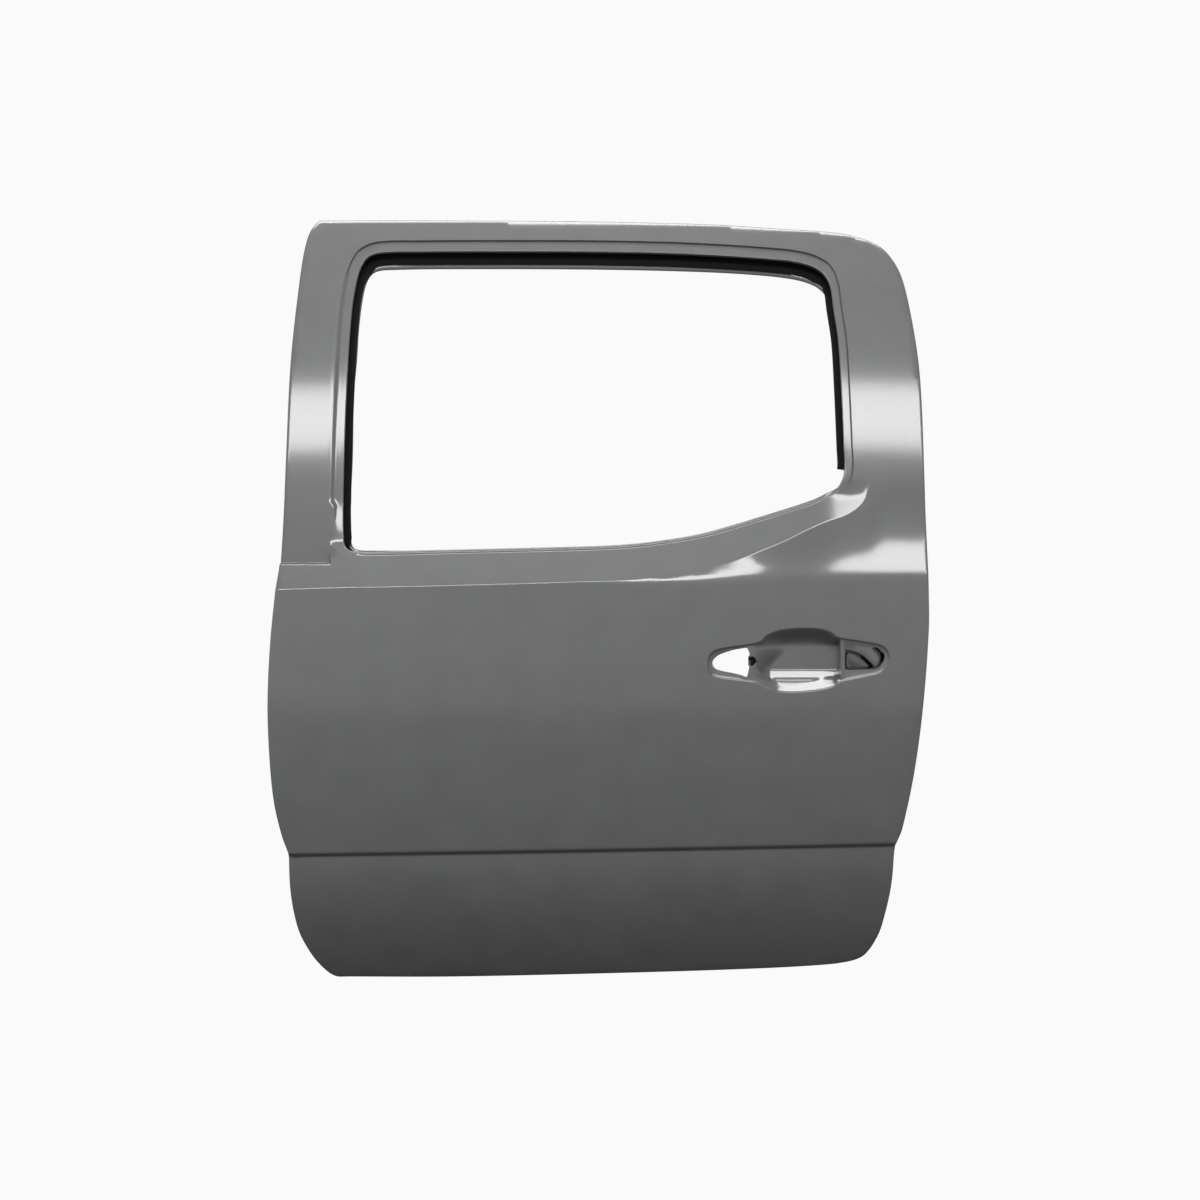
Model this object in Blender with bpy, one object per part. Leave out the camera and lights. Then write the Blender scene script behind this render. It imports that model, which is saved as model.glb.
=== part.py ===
"""Rear side door shell of a crew-cab pickup: steel skin, inner panel, run channels and welded reinforcements.

The door stands upright. X runs from its hinge edge to its latch edge, Y from outside to inside, Z up.
Shapes are laid out from the lower front corner, and the whole door hangs from an empty that puts
the origin on the upper hinge pad.
"""
import math

import bmesh
import bpy
from mathutils import Matrix, Vector
from mathutils.geometry import delaunay_2d_cdt

# Overall size
DOOR_WIDTH = 0.967
DOOR_HEIGHT = 1.148

# Sheet gauges and fits
SKIN_GAUGE = 0.0008
PANEL_GAUGE = 0.0010
CHANNEL_GAUGE = 0.0010
BRACE_GAUGE = 0.0014
PLATE_GAUGE = 0.0022
SHEET_GAP = 0.0003
CUT_OVERRUN = 0.012
PLAN_TOLERANCE = 0.000001
MERGE_DISTANCE = 0.00005
SLIVER_HEIGHT = 0.0003
STEADY_SHARE = 0.02

# Faceting of the curved outlines and panels
OUTLINE_TOLERANCE = 0.0006
LONGEST_EDGE = 0.050
PANEL_GRID = 0.055
NORMAL_STEP = 0.0005
CURVE_STEPS = 10

# Outer surface: body side, shoulder, leaning window frame and rocker
BULGE_HEIGHT_SHARE = 0.35279
BULGE_HEIGHT = BULGE_HEIGHT_SHARE * DOOR_HEIGHT
SIDE_RADIUS = 2.6
PLAN_RADIUS = 12.0
PLAN_CENTRE_SHARE = 0.53775
PLAN_CENTRE = PLAN_CENTRE_SHARE * DOOR_WIDTH
SHOULDER_REAR_HEIGHT_SHARE = 0.5122
SHOULDER_REAR_HEIGHT = SHOULDER_REAR_HEIGHT_SHARE * DOOR_HEIGHT
SHOULDER_FRONT_TILT = 27.0
SHOULDER_REAR_TILT = 17.5
SHOULDER_FRONT_BLEND = 0.0008
SHOULDER_REAR_BLEND = 0.004
SHOULDER_START_SHARE = 0.52
SHOULDER_END_SHARE = 0.78
LEAN_HEIGHT_SHARE = 0.54094
LEAN_HEIGHT = LEAN_HEIGHT_SHARE * DOOR_HEIGHT
LEAN_TILT = 10.0
LEAN_RADIUS = 2.5
LEAN_FRONT_DEPTH = 0.036
LEAN_REAR_DEPTH = 0.0205
LEDGE_HEIGHT_SHARE = 0.53807
LEDGE_HEIGHT = LEDGE_HEIGHT_SHARE * DOOR_HEIGHT
LEDGE_RUN = 0.004
ROCKER_FRONT_HEIGHT_SHARE = 0.16551
ROCKER_FRONT_HEIGHT = ROCKER_FRONT_HEIGHT_SHARE * DOOR_HEIGHT
ROCKER_REAR_HEIGHT_SHARE = 0.18075
ROCKER_REAR_HEIGHT = ROCKER_REAR_HEIGHT_SHARE * DOOR_HEIGHT
ROCKER_STEP = 0.007
ROCKER_RUN = 0.006
ROCKER_RADIUS = 0.80

# Sill strip between the belt crease and the window opening
SILL_REAR_TILT = 18.0
SILL_TILT_START_SHARE = 0.70
SILL_TILT_END_SHARE = 0.83
SILL_START_X_SHARE = 0.11582
SILL_START_X = SILL_START_X_SHARE * DOOR_WIDTH
SILL_FULL_X_SHARE = 0.16546
SILL_FULL_X = SILL_FULL_X_SHARE * DOOR_WIDTH
SILL_FADE_LOW_SHARE = 0.62282
SILL_FADE_LOW = SILL_FADE_LOW_SHARE * DOOR_HEIGHT
SILL_FADE_HIGH_SHARE = 0.6446
SILL_FADE_HIGH = SILL_FADE_HIGH_SHARE * DOOR_HEIGHT

# Window frame of the skin
FRONT_MOULDING_WIDTH = 0.021
HEADER_MOULDING_WIDTH = 0.018
REAR_MOULDING_WIDTH = 0.013
SILL_MOULDING_WIDTH = 0.0065
MOULDING_DEPTH = 0.0045
MOULDING_RUN = 0.0022
WINDOW_RETURN = 0.006

# Glass run channels
CHANNEL_WIDTH = 0.016
CHANNEL_REACH = 0.011
FRONT_LIP_WIDTH = 0.010
HEADER_LIP_WIDTH = 0.018
REAR_LIP_WIDTH = 0.009
CHANNEL_OUTER_SETBACK = 0.002
HEADER_BEAD = 0.003
CHANNEL_END_GAP = 0.0006
FRONT_JOINT_X_SHARE = 0.1758
FRONT_JOINT_X = FRONT_JOINT_X_SHARE * DOOR_WIDTH
REAR_JOINT_X_SHARE = 0.80869
REAR_JOINT_X = REAR_JOINT_X_SHARE * DOOR_WIDTH
FRONT_CHANNEL_FOOT_SHARE = 0.52265
FRONT_CHANNEL_FOOT = FRONT_CHANNEL_FOOT_SHARE * DOOR_HEIGHT
REAR_CHANNEL_FOOT_SHARE = 0.65854
REAR_CHANNEL_FOOT = REAR_CHANNEL_FOOT_SHARE * DOOR_HEIGHT

# Hem round the outer panel
HEM_DROP = 2 * SKIN_GAUGE + PANEL_GAUGE + 2 * SHEET_GAP
HEM_RETURN = 0.010
HEM_LEVEL_SHARE = 0.25
HEM_TURN_SHARE = 0.60

# Inner panel
INNER_PLANE = 0.112
FRAME_DEPTH = 0.045
PLANE_BLEND = 0.030
FRAME_BEND_LOW_SHARE = 0.52265
FRAME_BEND_LOW = FRAME_BEND_LOW_SHARE * DOOR_HEIGHT
FRAME_BEND_PITCH_SHARE = 0.0392
FRAME_BEND_PITCH = FRAME_BEND_PITCH_SHARE * DOOR_HEIGHT
FRAME_BEND_LINES = 9
SEAL_SEAT_DROP = 0.018
SEAL_SEAT_WIDTH = 0.014
SEAL_STEP_RUN = 0.003
WALL_DRAFT = 3.0
WINDOW_FLANGE_WIDTH = 0.011
WINDOW_WALL_RUN = 0.004
BELT_SETBACK = 0.022
BELT_SETBACK_LOW_SHARE = 0.56185
BELT_SETBACK_LOW = BELT_SETBACK_LOW_SHARE * DOOR_HEIGHT
BELT_SETBACK_HIGH_SHARE = 0.62718
BELT_SETBACK_HIGH = BELT_SETBACK_HIGH_SHARE * DOOR_HEIGHT
HOLE_RIM_WIDTH = 0.012
HOLE_RIM_RUN = 0.004
HOLE_RIM_DEPTH = 0.004
RIB_X_SHARE = 0.467
RIB_X = RIB_X_SHARE * DOOR_WIDTH
RIB_WIDTH = 0.0387
RIB_HEIGHT = 0.006
NUT_LAND = 0.015
SERVICE_REACH = RIB_WIDTH / 2 + NUT_LAND + HOLE_RIM_WIDTH + HOLE_RIM_RUN
RIB_RUN = 0.005
SERVICE_HOLE_RADIUS = 0.030
SPEAKER_RADIUS = 0.078
SPEAKER_CENTRE_X_SHARE = 0.28438
SPEAKER_CENTRE_X = SPEAKER_CENTRE_X_SHARE * DOOR_WIDTH
SPEAKER_CENTRE_Z_SHARE = 0.17857
SPEAKER_CENTRE_Z = SPEAKER_CENTRE_Z_SHARE * DOOR_HEIGHT
SPEAKER_SIDES = 32
SMALL_HOLE_SIDES = 10
RIB_RADIUS = 0.017
CLIP_HOLE_RADIUS = 0.0045
NUT_HOLE_RADIUS = 0.0038

# Handle recess
HANDLE_REAR_MARGIN = 0.0581
HANDLE_Z_SHARE = 0.41254
HANDLE_Z = HANDLE_Z_SHARE * DOOR_HEIGHT
HANDLE_LENGTH = 0.2664
HANDLE_X = DOOR_WIDTH - HANDLE_REAR_MARGIN - HANDLE_LENGTH
HANDLE_HEIGHT = 0.0946
HANDLE_SEAT_DEPTH = 0.0025
HANDLE_SEAT_RUN = 0.0025
POCKET_PLACE_SHARE = 0.4955
POCKET_X = HANDLE_X + POCKET_PLACE_SHARE * HANDLE_LENGTH
POCKET_HALF_WIDTH = 0.0550
POCKET_HALF_HEIGHT = 0.0420
POCKET_DEPTH = 0.024
POCKET_POWER = 2.6
POCKET_RING_SHARES = (1.0, 0.86, 0.68, 0.45)
POCKET_SIDES = 28

# Hinges, check strap and latch on the two walls
HINGE_WALL_X_SHARE = 0.05791
HINGE_WALL_X = HINGE_WALL_X_SHARE * DOOR_WIDTH
LATCH_WALL_X_SHARE = 0.96898
LATCH_WALL_X = LATCH_WALL_X_SHARE * DOOR_WIDTH
HINGE_MID_DEPTH = 0.052
UPPER_HINGE_Z_SHARE = 0.45296
UPPER_HINGE_Z = UPPER_HINGE_Z_SHARE * DOOR_HEIGHT
LOWER_HINGE_Z_SHARE = 0.23519
LOWER_HINGE_Z = LOWER_HINGE_Z_SHARE * DOOR_HEIGHT
HINGE_BOLT_PITCH = 0.036
HINGE_BOLT_RADIUS = 0.0052
TAPPING_PLATE_LENGTH = 0.076
TAPPING_PLATE_WIDTH = 0.034
TAPPING_PLATE_THICKNESS = 0.008
HINGE_BRACE_LOW_SHARE = 0.19164
HINGE_BRACE_LOW = HINGE_BRACE_LOW_SHARE * DOOR_HEIGHT
HINGE_BRACE_HIGH_SHARE = 0.50087
HINGE_BRACE_HIGH = HINGE_BRACE_HIGH_SHARE * DOOR_HEIGHT
HINGE_BRACE_NEAR = 0.022
HINGE_BRACE_FAR = 0.084
BRACE_LIP = 0.014
STRAP_Z_SHARE = 0.36585
STRAP_Z = STRAP_Z_SHARE * DOOR_HEIGHT
STRAP_SLOT_LENGTH = 0.030
STRAP_SLOT_WIDTH = 0.012
STRAP_PLATE_LENGTH = 0.062
STRAP_PLATE_WIDTH = 0.040
HARNESS_Z_SHARE = 0.54443
HARNESS_Z = HARNESS_Z_SHARE * DOOR_HEIGHT
HARNESS_DEPTH = 0.068
HARNESS_RADIUS = 0.014
LATCH_Z_SHARE = 0.43554
LATCH_Z = LATCH_Z_SHARE * DOOR_HEIGHT
LATCH_DEPTH = 0.058
LATCH_SLOT_LENGTH = 0.060
LATCH_SLOT_WIDTH = 0.026
LATCH_BOLT_RADIUS = 0.0035
LATCH_BOLT_MARGIN = 0.016
WALL_CUT_LENGTH = 0.040
LATCH_BRACE_LENGTH = 0.150
LATCH_BRACE_NEAR = 0.020
LATCH_BRACE_FAR = 0.086

# Impact beam
BEAM_RADIUS = 0.016
BEAM_WALL = 0.0025
BEAM_DEPTH = 0.036
BEAM_FRONT_INSET = 0.022
BEAM_FRONT_X = HINGE_WALL_X + BEAM_FRONT_INSET
BEAM_FRONT_Z_SHARE = 0.30488
BEAM_FRONT_Z = BEAM_FRONT_Z_SHARE * DOOR_HEIGHT
BEAM_REAR_INSET = 0.032
BEAM_REAR_X = LATCH_WALL_X - BEAM_REAR_INSET
BEAM_REAR_Z_SHARE = 0.27439
BEAM_REAR_Z = BEAM_REAR_Z_SHARE * DOOR_HEIGHT
BEAM_SIDES = 20
BEAM_BRACKET_REACH = 0.110
BEAM_BRACKET_HEIGHT = 0.052
BEAM_BRACKET_DEEP = 0.078
PAD_LENGTH = 0.034
PAD_HEIGHT = 0.022
PAD_SHARES = (0.16, 0.38, 0.62, 0.84)

# Belt reinforcements: a hat section below the opening on each side of the glass slot
BELT_FRONT_X_SHARE = 0.13444
BELT_FRONT_X = BELT_FRONT_X_SHARE * DOOR_WIDTH
BELT_REAR_X_SHARE = 0.7394
BELT_REAR_X = BELT_REAR_X_SHARE * DOOR_WIDTH
BELT_DROP = 0.009
BELT_FLANGE = 0.009
BELT_HAT_HEIGHT = 0.014
BELT_HAT_DEPTH = 0.010
BELT_HAT_RUN = 0.004
BELT_PITCH = 0.045
INNER_BELT_TOP_SHARE = 0.5331
INNER_BELT_TOP = INNER_BELT_TOP_SHARE * DOOR_HEIGHT
INNER_BELT_REAR_X_SHARE = 0.87384
INNER_BELT_REAR_X = INNER_BELT_REAR_X_SHARE * DOOR_WIDTH

# Handle reinforcement and lock bracket
HANDLE_BRACE_MARGIN = 0.016
HANDLE_BRACE_CLEARANCE = 0.004
LOCK_BRACKET_PLACE_SHARE = 0.854
LOCK_BRACKET_X = HANDLE_X + LOCK_BRACKET_PLACE_SHARE * HANDLE_LENGTH
LOCK_BRACKET_DEPTH = 0.016
LOCK_BRACKET_LENGTH = 0.056
LOCK_BRACKET_HEIGHT = 0.078
LOCK_BRACKET_FOOT = 0.011
LOCK_BRACKET_RUN = 0.006
LOCK_HOLE_PLACE_SHARE = 0.8915
LOCK_HOLE_X = HANDLE_X + LOCK_HOLE_PLACE_SHARE * HANDLE_LENGTH
LOCK_HOLE_RADIUS = 0.0125

# Plates inside the inner panel at the pillars and the upper corners
PILLAR_PLATE_LOW_SHARE = 0.51394
PILLAR_PLATE_LOW = PILLAR_PLATE_LOW_SHARE * DOOR_HEIGHT
FRONT_PLATE_X_SHARE = 0.07963
FRONT_PLATE_X = FRONT_PLATE_X_SHARE * DOOR_WIDTH
FRONT_PLATE_WIDTH_SHARE = 0.0186
FRONT_PLATE_WIDTH = FRONT_PLATE_WIDTH_SHARE * DOOR_WIDTH
FRONT_PLATE_HIGH_SHARE = 0.69686
FRONT_PLATE_HIGH = FRONT_PLATE_HIGH_SHARE * DOOR_HEIGHT
REAR_PLATE_X_SHARE = 0.90589
REAR_PLATE_X = REAR_PLATE_X_SHARE * DOOR_WIDTH
REAR_PLATE_WIDTH_SHARE = 0.0382
REAR_PLATE_WIDTH = REAR_PLATE_WIDTH_SHARE * DOOR_WIDTH
REAR_PLATE_HIGH_SHARE = 0.71429
REAR_PLATE_HIGH = REAR_PLATE_HIGH_SHARE * DOOR_HEIGHT
PILLAR_PLATE_RADIUS = 0.008
PLATE_CORNER_SHARE = 0.45
GUSSET_CLEARANCE = 0.002
GUSSET_WIDTH = 0.010
GUSSET_FRONT_REACH_SHARE = 0.22751
GUSSET_FRONT_REACH = GUSSET_FRONT_REACH_SHARE * DOOR_WIDTH
GUSSET_REAR_REACH_SHARE = 0.74457
GUSSET_REAR_REACH = GUSSET_REAR_REACH_SHARE * DOOR_WIDTH
GUSSET_LOW_SHARE = 0.83624
GUSSET_LOW = GUSSET_LOW_SHARE * DOOR_HEIGHT

# Weld nuts
NUT_RADIUS = 0.0065
NUT_HEIGHT = 0.006
NUT_WALL = 0.0024

# Outline of the door as shares of its width and height, from the lower front corner upward and round
FRONT_LOWER_SHARES = ((0.117, 0.0), (0.094, 0.001), (0.0725, 0.017), (0.0555, 0.039), (0.042, 0.066),
                      (0.0325, 0.113), (0.030, 0.1665))
FRONT_UPPER_SHARES = ((0.030, 0.1665), (0.020, 0.1905), (0.0085, 0.235), (0.002, 0.299), (0.0, 0.362),
                      (0.004, 0.438), (0.011, 0.502), (0.0145, 0.535), (0.017, 0.594), (0.018, 0.678),
                      (0.0195, 0.806), (0.0275, 0.916), (0.0317, 0.952), (0.037, 0.976), (0.044, 0.990),
                      (0.0542, 1.0))
TOP_REAR_SHARES = ((0.0542, 1.0), (0.185, 0.9995), (0.3278, 0.998), (0.5026, 0.9958), (0.6833, 0.991),
                   (0.7876, 0.985), (0.871, 0.980), (0.909, 0.9737), (0.9436, 0.961), (0.9652, 0.940),
                   (0.978, 0.9146), (0.988, 0.870), (0.997, 0.805), (0.9995, 0.7487), (0.9995, 0.6356),
                   (1.0, 0.553), (1.0, 0.502), (0.9996, 0.451), (0.990, 0.3497), (0.977, 0.268),
                   (0.9595, 0.197), (0.9514, 0.180))
REAR_LOWER_SHARES = ((0.9514, 0.180), (0.949, 0.170), (0.9447, 0.1244), (0.9355, 0.0825), (0.927, 0.057),
                     (0.909, 0.0311), (0.8895, 0.0222), (0.8455, 0.0165), (0.7247, 0.011), (0.512, 0.0053),
                     (0.271, 0.0004), (0.117, 0.0))

# Window opening of the skin, with the side of the frame that each point belongs to
WINDOW_SHARES = ((0.1105, 0.5680, "front"), (0.1078, 0.6768, "front"), (0.1094, 0.8144, "front"),
                 (0.1123, 0.8746, "front"), (0.1170, 0.9094, "front"), (0.1238, 0.9332, "header"),
                 (0.1342, 0.9473, "header"), (0.1545, 0.9536, "header"), (0.2178, 0.9546, "header"),
                 (0.3445, 0.9543, "header"), (0.5026, 0.9529, "header"), (0.6478, 0.9492, "header"),
                 (0.7926, 0.9405, "header"), (0.8301, 0.9341, "header"), (0.8517, 0.9236, "header"),
                 (0.8635, 0.9068, "rear"), (0.8683, 0.8727, "rear"), (0.8739, 0.8288, "rear"),
                 (0.8760, 0.7600, "rear"), (0.8772, 0.6860, "rear"), (0.8777, 0.6632, "rear"),
                 (0.8741, 0.6463, "rear"), (0.8661, 0.6345, "sill"), (0.8476, 0.6267, "sill"),
                 (0.8261, 0.6183, "sill"), (0.7816, 0.6060, "sill"), (0.7189, 0.5898, "sill"),
                 (0.6563, 0.5750, "sill"), (0.5939, 0.5660, "sill"), (0.5330, 0.5605, "sill"),
                 (0.4417, 0.5577, "sill"), (0.2292, 0.5535, "sill"), (0.1372, 0.5519, "sill"),
                 (0.1180, 0.5545, "sill"))

# Belt crease under the window, from the hinge edge to its upturned end
CREASE_SHARES = ((-0.02, 0.5010), (0.10, 0.5043), (0.25, 0.5070), (0.45, 0.5116), (0.533, 0.5146),
                 (0.594, 0.5197), (0.640, 0.5260), (0.687, 0.5350), (0.718, 0.5428), (0.749, 0.5530),
                 (0.780, 0.5633), (0.811, 0.5764), (0.843, 0.5882), (0.874, 0.5968), (0.892, 0.6058),
                 (0.906, 0.6187), (0.9115, 0.6343))

# Window opening of the inner panel, and the top line of its outer wall
INNER_WINDOW_SHARES = ((0.1175, 0.5640), (0.1190, 0.6771), (0.1180, 0.7600), (0.1210, 0.8072),
                       (0.1225, 0.8511), (0.1265, 0.8900), (0.1325, 0.9152), (0.1440, 0.9285),
                       (0.1722, 0.9320), (0.2993, 0.9325), (0.5026, 0.9308), (0.6485, 0.9275),
                       (0.7434, 0.9230), (0.8082, 0.9165), (0.8420, 0.9070), (0.8600, 0.8920),
                       (0.8730, 0.8700), (0.8800, 0.8335), (0.8825, 0.7357), (0.8830, 0.6632),
                       (0.8825, 0.5800), (0.8790, 0.5620), (0.8660, 0.5550), (0.8450, 0.5535),
                       (0.5000, 0.5535), (0.1450, 0.5535), (0.1240, 0.5555))
INNER_WALL_SHARES = ((0.1250, 0.0330), (0.0900, 0.0480), (0.0690, 0.0870), (0.0600, 0.1300))
INNER_PILLAR_SHARES = ((0.0540, 0.6000), (0.0480, 0.6900), (0.0490, 0.8100), (0.0540, 0.8970),
                       (0.0620, 0.9500), (0.0800, 0.9740), (0.1860, 0.9790), (0.5026, 0.9758),
                       (0.6826, 0.9705), (0.8270, 0.9620), (0.8890, 0.9530), (0.9255, 0.9350),
                       (0.9460, 0.9090), (0.9600, 0.8700), (0.9670, 0.8100))
INNER_REAR_SHARES = ((0.9570, 0.3200), (0.9480, 0.2700), (0.9300, 0.1960), (0.9170, 0.1220),
                     (0.9060, 0.0800), (0.8860, 0.0560), (0.8480, 0.0450), (0.7240, 0.0400),
                     (0.5070, 0.0350), (0.2690, 0.0310))
WALL_STRAIGHT_LOW_SHARE = 0.170
HINGE_WALL_HIGH_SHARE = 0.560
LATCH_WALL_HIGH_SHARE = 0.740
LATCH_WALL_LOW_SHARE = 0.360

# Handle seat and its two through holes, as shares of the handle's length and height
HANDLE_SHARES = ((0.0, -0.107), (0.011, 0.082), (0.050, 0.164), (0.126, 0.210), (0.218, 0.246),
                 (0.289, 0.294), (0.318, 0.375), (0.386, 0.458), (0.469, 0.494), (0.560, 0.500),
                 (0.628, 0.483), (0.686, 0.423), (0.714, 0.360), (0.854, 0.294), (0.963, 0.223),
                 (0.992, 0.129), (1.0, -0.013), (0.979, -0.107), (0.937, -0.202), (0.853, -0.260),
                 (0.719, -0.344), (0.700, -0.395), (0.644, -0.447), (0.560, -0.483), (0.469, -0.500),
                 (0.385, -0.483), (0.318, -0.412), (0.268, -0.354), (0.184, -0.317), (0.059, -0.271),
                 (0.017, -0.225))
HANDLE_FRONT_HOLE_SHARES = ((0.028, -0.050), (0.056, 0.041), (0.130, 0.131), (0.200, 0.160),
                            (0.212, -0.010), (0.205, -0.180), (0.130, -0.170), (0.050, -0.140))
HANDLE_REAR_HOLE_SHARES = ((0.738, 0.150), (0.850, 0.170), (0.915, 0.150), (0.950, 0.080),
                           (0.962, -0.020), (0.940, -0.090), (0.880, -0.125), (0.738, -0.140))

# Openings of the inner panel as shares of the door: corners of each, and the places of the small holes
FRONT_SERVICE_SHARES = ((0.190, 0.300), (0.125, 0.330), (0.125, 0.470))
REAR_SERVICE_SHARES = ((0.830, 0.470), (0.830, 0.360), (0.760, 0.300))
SERVICE_LOW_SHARE = 0.300
SERVICE_HIGH_SHARE = 0.470
LOWER_SERVICE_SHARES = ((0.560, 0.130), (0.560, 0.205), (0.800, 0.205), (0.800, 0.130))
RIB_LOW_SHARE = 0.120
RIB_HIGH_SHARE = 0.470
CLIP_HOLE_SHARES = ((0.095, 0.200), (0.100, 0.092), (0.330, 0.066), (0.600, 0.068), (0.840, 0.080),
                    (0.885, 0.240), (0.905, 0.420), (0.093, 0.400), (0.467, 0.095))
NUT_SHARES = ((0.160, 0.285), (0.091, 0.340), (0.870, 0.385), (0.800, 0.285))
RIB_NUT_SHARES = ((-1.0, 0.320), (-1.0, 0.450), (1.0, 0.330), (1.0, 0.450))


def in_lengths(shares, width=DOOR_WIDTH, height=DOOR_HEIGHT):
    """Turns pairs of shares into points of the door's plan, which is seen from outside."""
    return [Vector((across * width, up * height)) for across, up in shares]


def ease(share):
    """Smooth step from 0 to 1."""
    share = min(1.0, max(0.0, share))
    return share * share * (3.0 - 2.0 * share)


def ramp(value, start, end):
    return ease((value - start) / (end - start))


def mix(first, second, share):
    return first + (second - first) * share


def soft_max(first, second, blend):
    """The larger of two depths, rounded where they meet."""
    overlap = max(blend - abs(first - second), 0.0) / blend
    return max(first, second) + overlap * overlap * blend / 4.0


def soft_min(first, second, blend):
    return -soft_max(-first, -second, blend)


def slope(degrees):
    return math.tan(math.radians(degrees))


def smooth_run(points, steps=CURVE_STEPS):
    """Points along a smooth curve that passes through POINTS."""
    curve = []
    last = len(points) - 1
    for index in range(last):
        start, end = points[index], points[index + 1]
        before = points[max(index - 1, 0)]
        after = points[min(index + 2, last)]
        span = (end - start).length
        start_pull = (end - before).normalized() * span
        end_pull = (after - start).normalized() * span
        for step in range(steps):
            t = step / steps
            curve.append(start * (2 * t ** 3 - 3 * t ** 2 + 1) + start_pull * (t ** 3 - 2 * t ** 2 + t)
                         + end * (3 * t ** 2 - 2 * t ** 3) + end_pull * (t ** 3 - t ** 2))
    curve.append(points[last].copy())
    return curve


def thinned(points, longest=LONGEST_EDGE):
    """The fewest points of a curve that stay within the outline tolerance."""
    kept = [points[0]]
    start = 0
    for index in range(2, len(points)):
        chord = points[index] - points[start]
        normal = Vector((-chord.y, chord.x)).normalized()
        bulge = max(abs((point - points[start]).dot(normal)) for point in points[start + 1:index])
        if bulge > OUTLINE_TOLERANCE or chord.length > longest:
            start = index - 1
            kept.append(points[start])
    kept.append(points[-1])
    return kept


def smooth_loop_curve(points):
    """A closed smooth curve through POINTS, which ends where it starts."""
    count = len(points)
    wrapped = [points[index % count] for index in range(-1, count + 2)]
    return smooth_run(wrapped)[CURVE_STEPS:-CURVE_STEPS]


def smooth_loop(points):
    """A closed smooth curve with as few points as its shape needs, and no repeated last point."""
    return thinned(smooth_loop_curve(points))[:-1]


def rounded_loop(corners, radius, steps=4):
    """A closed polygon whose corners are rounded to RADIUS."""
    loop = []
    count = len(corners)
    for index, corner in enumerate(corners):
        to_last = (corners[index - 1] - corner).normalized()
        to_next = (corners[(index + 1) % count] - corner).normalized()
        half = to_last.angle(to_next) / 2.0
        tangent = radius / math.tan(half)
        centre = corner + (to_last + to_next).normalized() * (radius / math.sin(half))
        first = corner + to_last * tangent - centre
        last = corner + to_next * tangent - centre
        sweep = math.copysign(math.pi - 2.0 * half, first.cross(last))
        for step in range(steps + 1):
            arm = first.copy()
            arm.rotate(Matrix.Rotation(sweep * step / steps, 2))
            loop.append(centre + arm)
    return loop


def circle_loop(centre, radius, sides):
    """A closed ring of points round CENTRE."""
    angles = [2.0 * math.pi * index / sides for index in range(sides)]
    return [centre + Vector((radius * math.cos(angle), radius * math.sin(angle))) for angle in angles]


def loop_area(loop):
    return sum(loop[index - 1].cross(point) for index, point in enumerate(loop)) / 2.0


def outward_normals(loop, closed=True):
    """Mitred outward directions at the points of LOOP; an open line's directions lie to its left."""
    count = len(loop)
    sign = math.copysign(1.0, loop_area(loop)) if closed else -1.0
    normals = []
    for index, point in enumerate(loop):
        before = loop[index - 1] if closed or index else point
        after = loop[(index + 1) % count] if closed or index < count - 1 else point
        edges = [edge.normalized() for edge in (point - before, after - point) if edge.length > 0.0]
        sides = [Vector((edge.y, -edge.x)) * sign for edge in edges]
        middle = sum(sides, Vector((0.0, 0.0))).normalized()
        normals.append(middle / max(middle.dot(sides[0]), 0.5))
    return normals


def offset_loop(loop, distances):
    """LOOP moved outward by one distance, or by a distance for each of its points."""
    if not isinstance(distances, (list, tuple)):
        distances = [distances] * len(loop)
    return [point + normal * distance
            for point, normal, distance in zip(loop, outward_normals(loop), distances)]


def inside(point, loop):
    """True where POINT lies inside the closed LOOP."""
    within = False
    for index, end in enumerate(loop):
        start = loop[index - 1]
        if (start.y > point.y) != (end.y > point.y):
            crossing = start.x + (point.y - start.y) * (end.x - start.x) / (end.y - start.y)
            if point.x < crossing:
                within = not within
    return within


def loop_distance(point, loop):
    """Distance from POINT to the nearest edge of LOOP."""
    nearest = math.inf
    for index, end in enumerate(loop):
        start = loop[index - 1]
        edge = end - start
        share = min(1.0, max(0.0, (point - start).dot(edge) / edge.length_squared))
        nearest = min(nearest, (start + edge * share - point).length)
    return nearest


def height_on(curve, x):
    """Height of a curve that runs along X, by straight pieces between its points."""
    for start, end in zip(curve, curve[1:]):
        if start.x <= x <= end.x:
            return mix(start.y, end.y, (x - start.x) / (end.x - start.x))
    return None


def door_outline():
    runs = (FRONT_LOWER_SHARES, FRONT_UPPER_SHARES, TOP_REAR_SHARES, REAR_LOWER_SHARES)
    outline = []
    for shares in runs:
        outline += thinned(smooth_run(in_lengths(shares)))[:-1]
    return outline


def side_widths(curve, width_of_side):
    """The width for each point of a curve round the window, by the sides of the points next to it."""
    corners = in_lengths([row[:2] for row in WINDOW_SHARES])
    widths = []
    for point in curve:
        nearest = sorted(range(len(corners)), key=lambda index: (corners[index] - point).length)[:2]
        gaps = [(corners[index] - point).length for index in nearest]
        first, second = (width_of_side[WINDOW_SHARES[index][2]] for index in nearest)
        widths.append(mix(first, second, gaps[0] / (gaps[0] + gaps[1])))
    return widths


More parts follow.
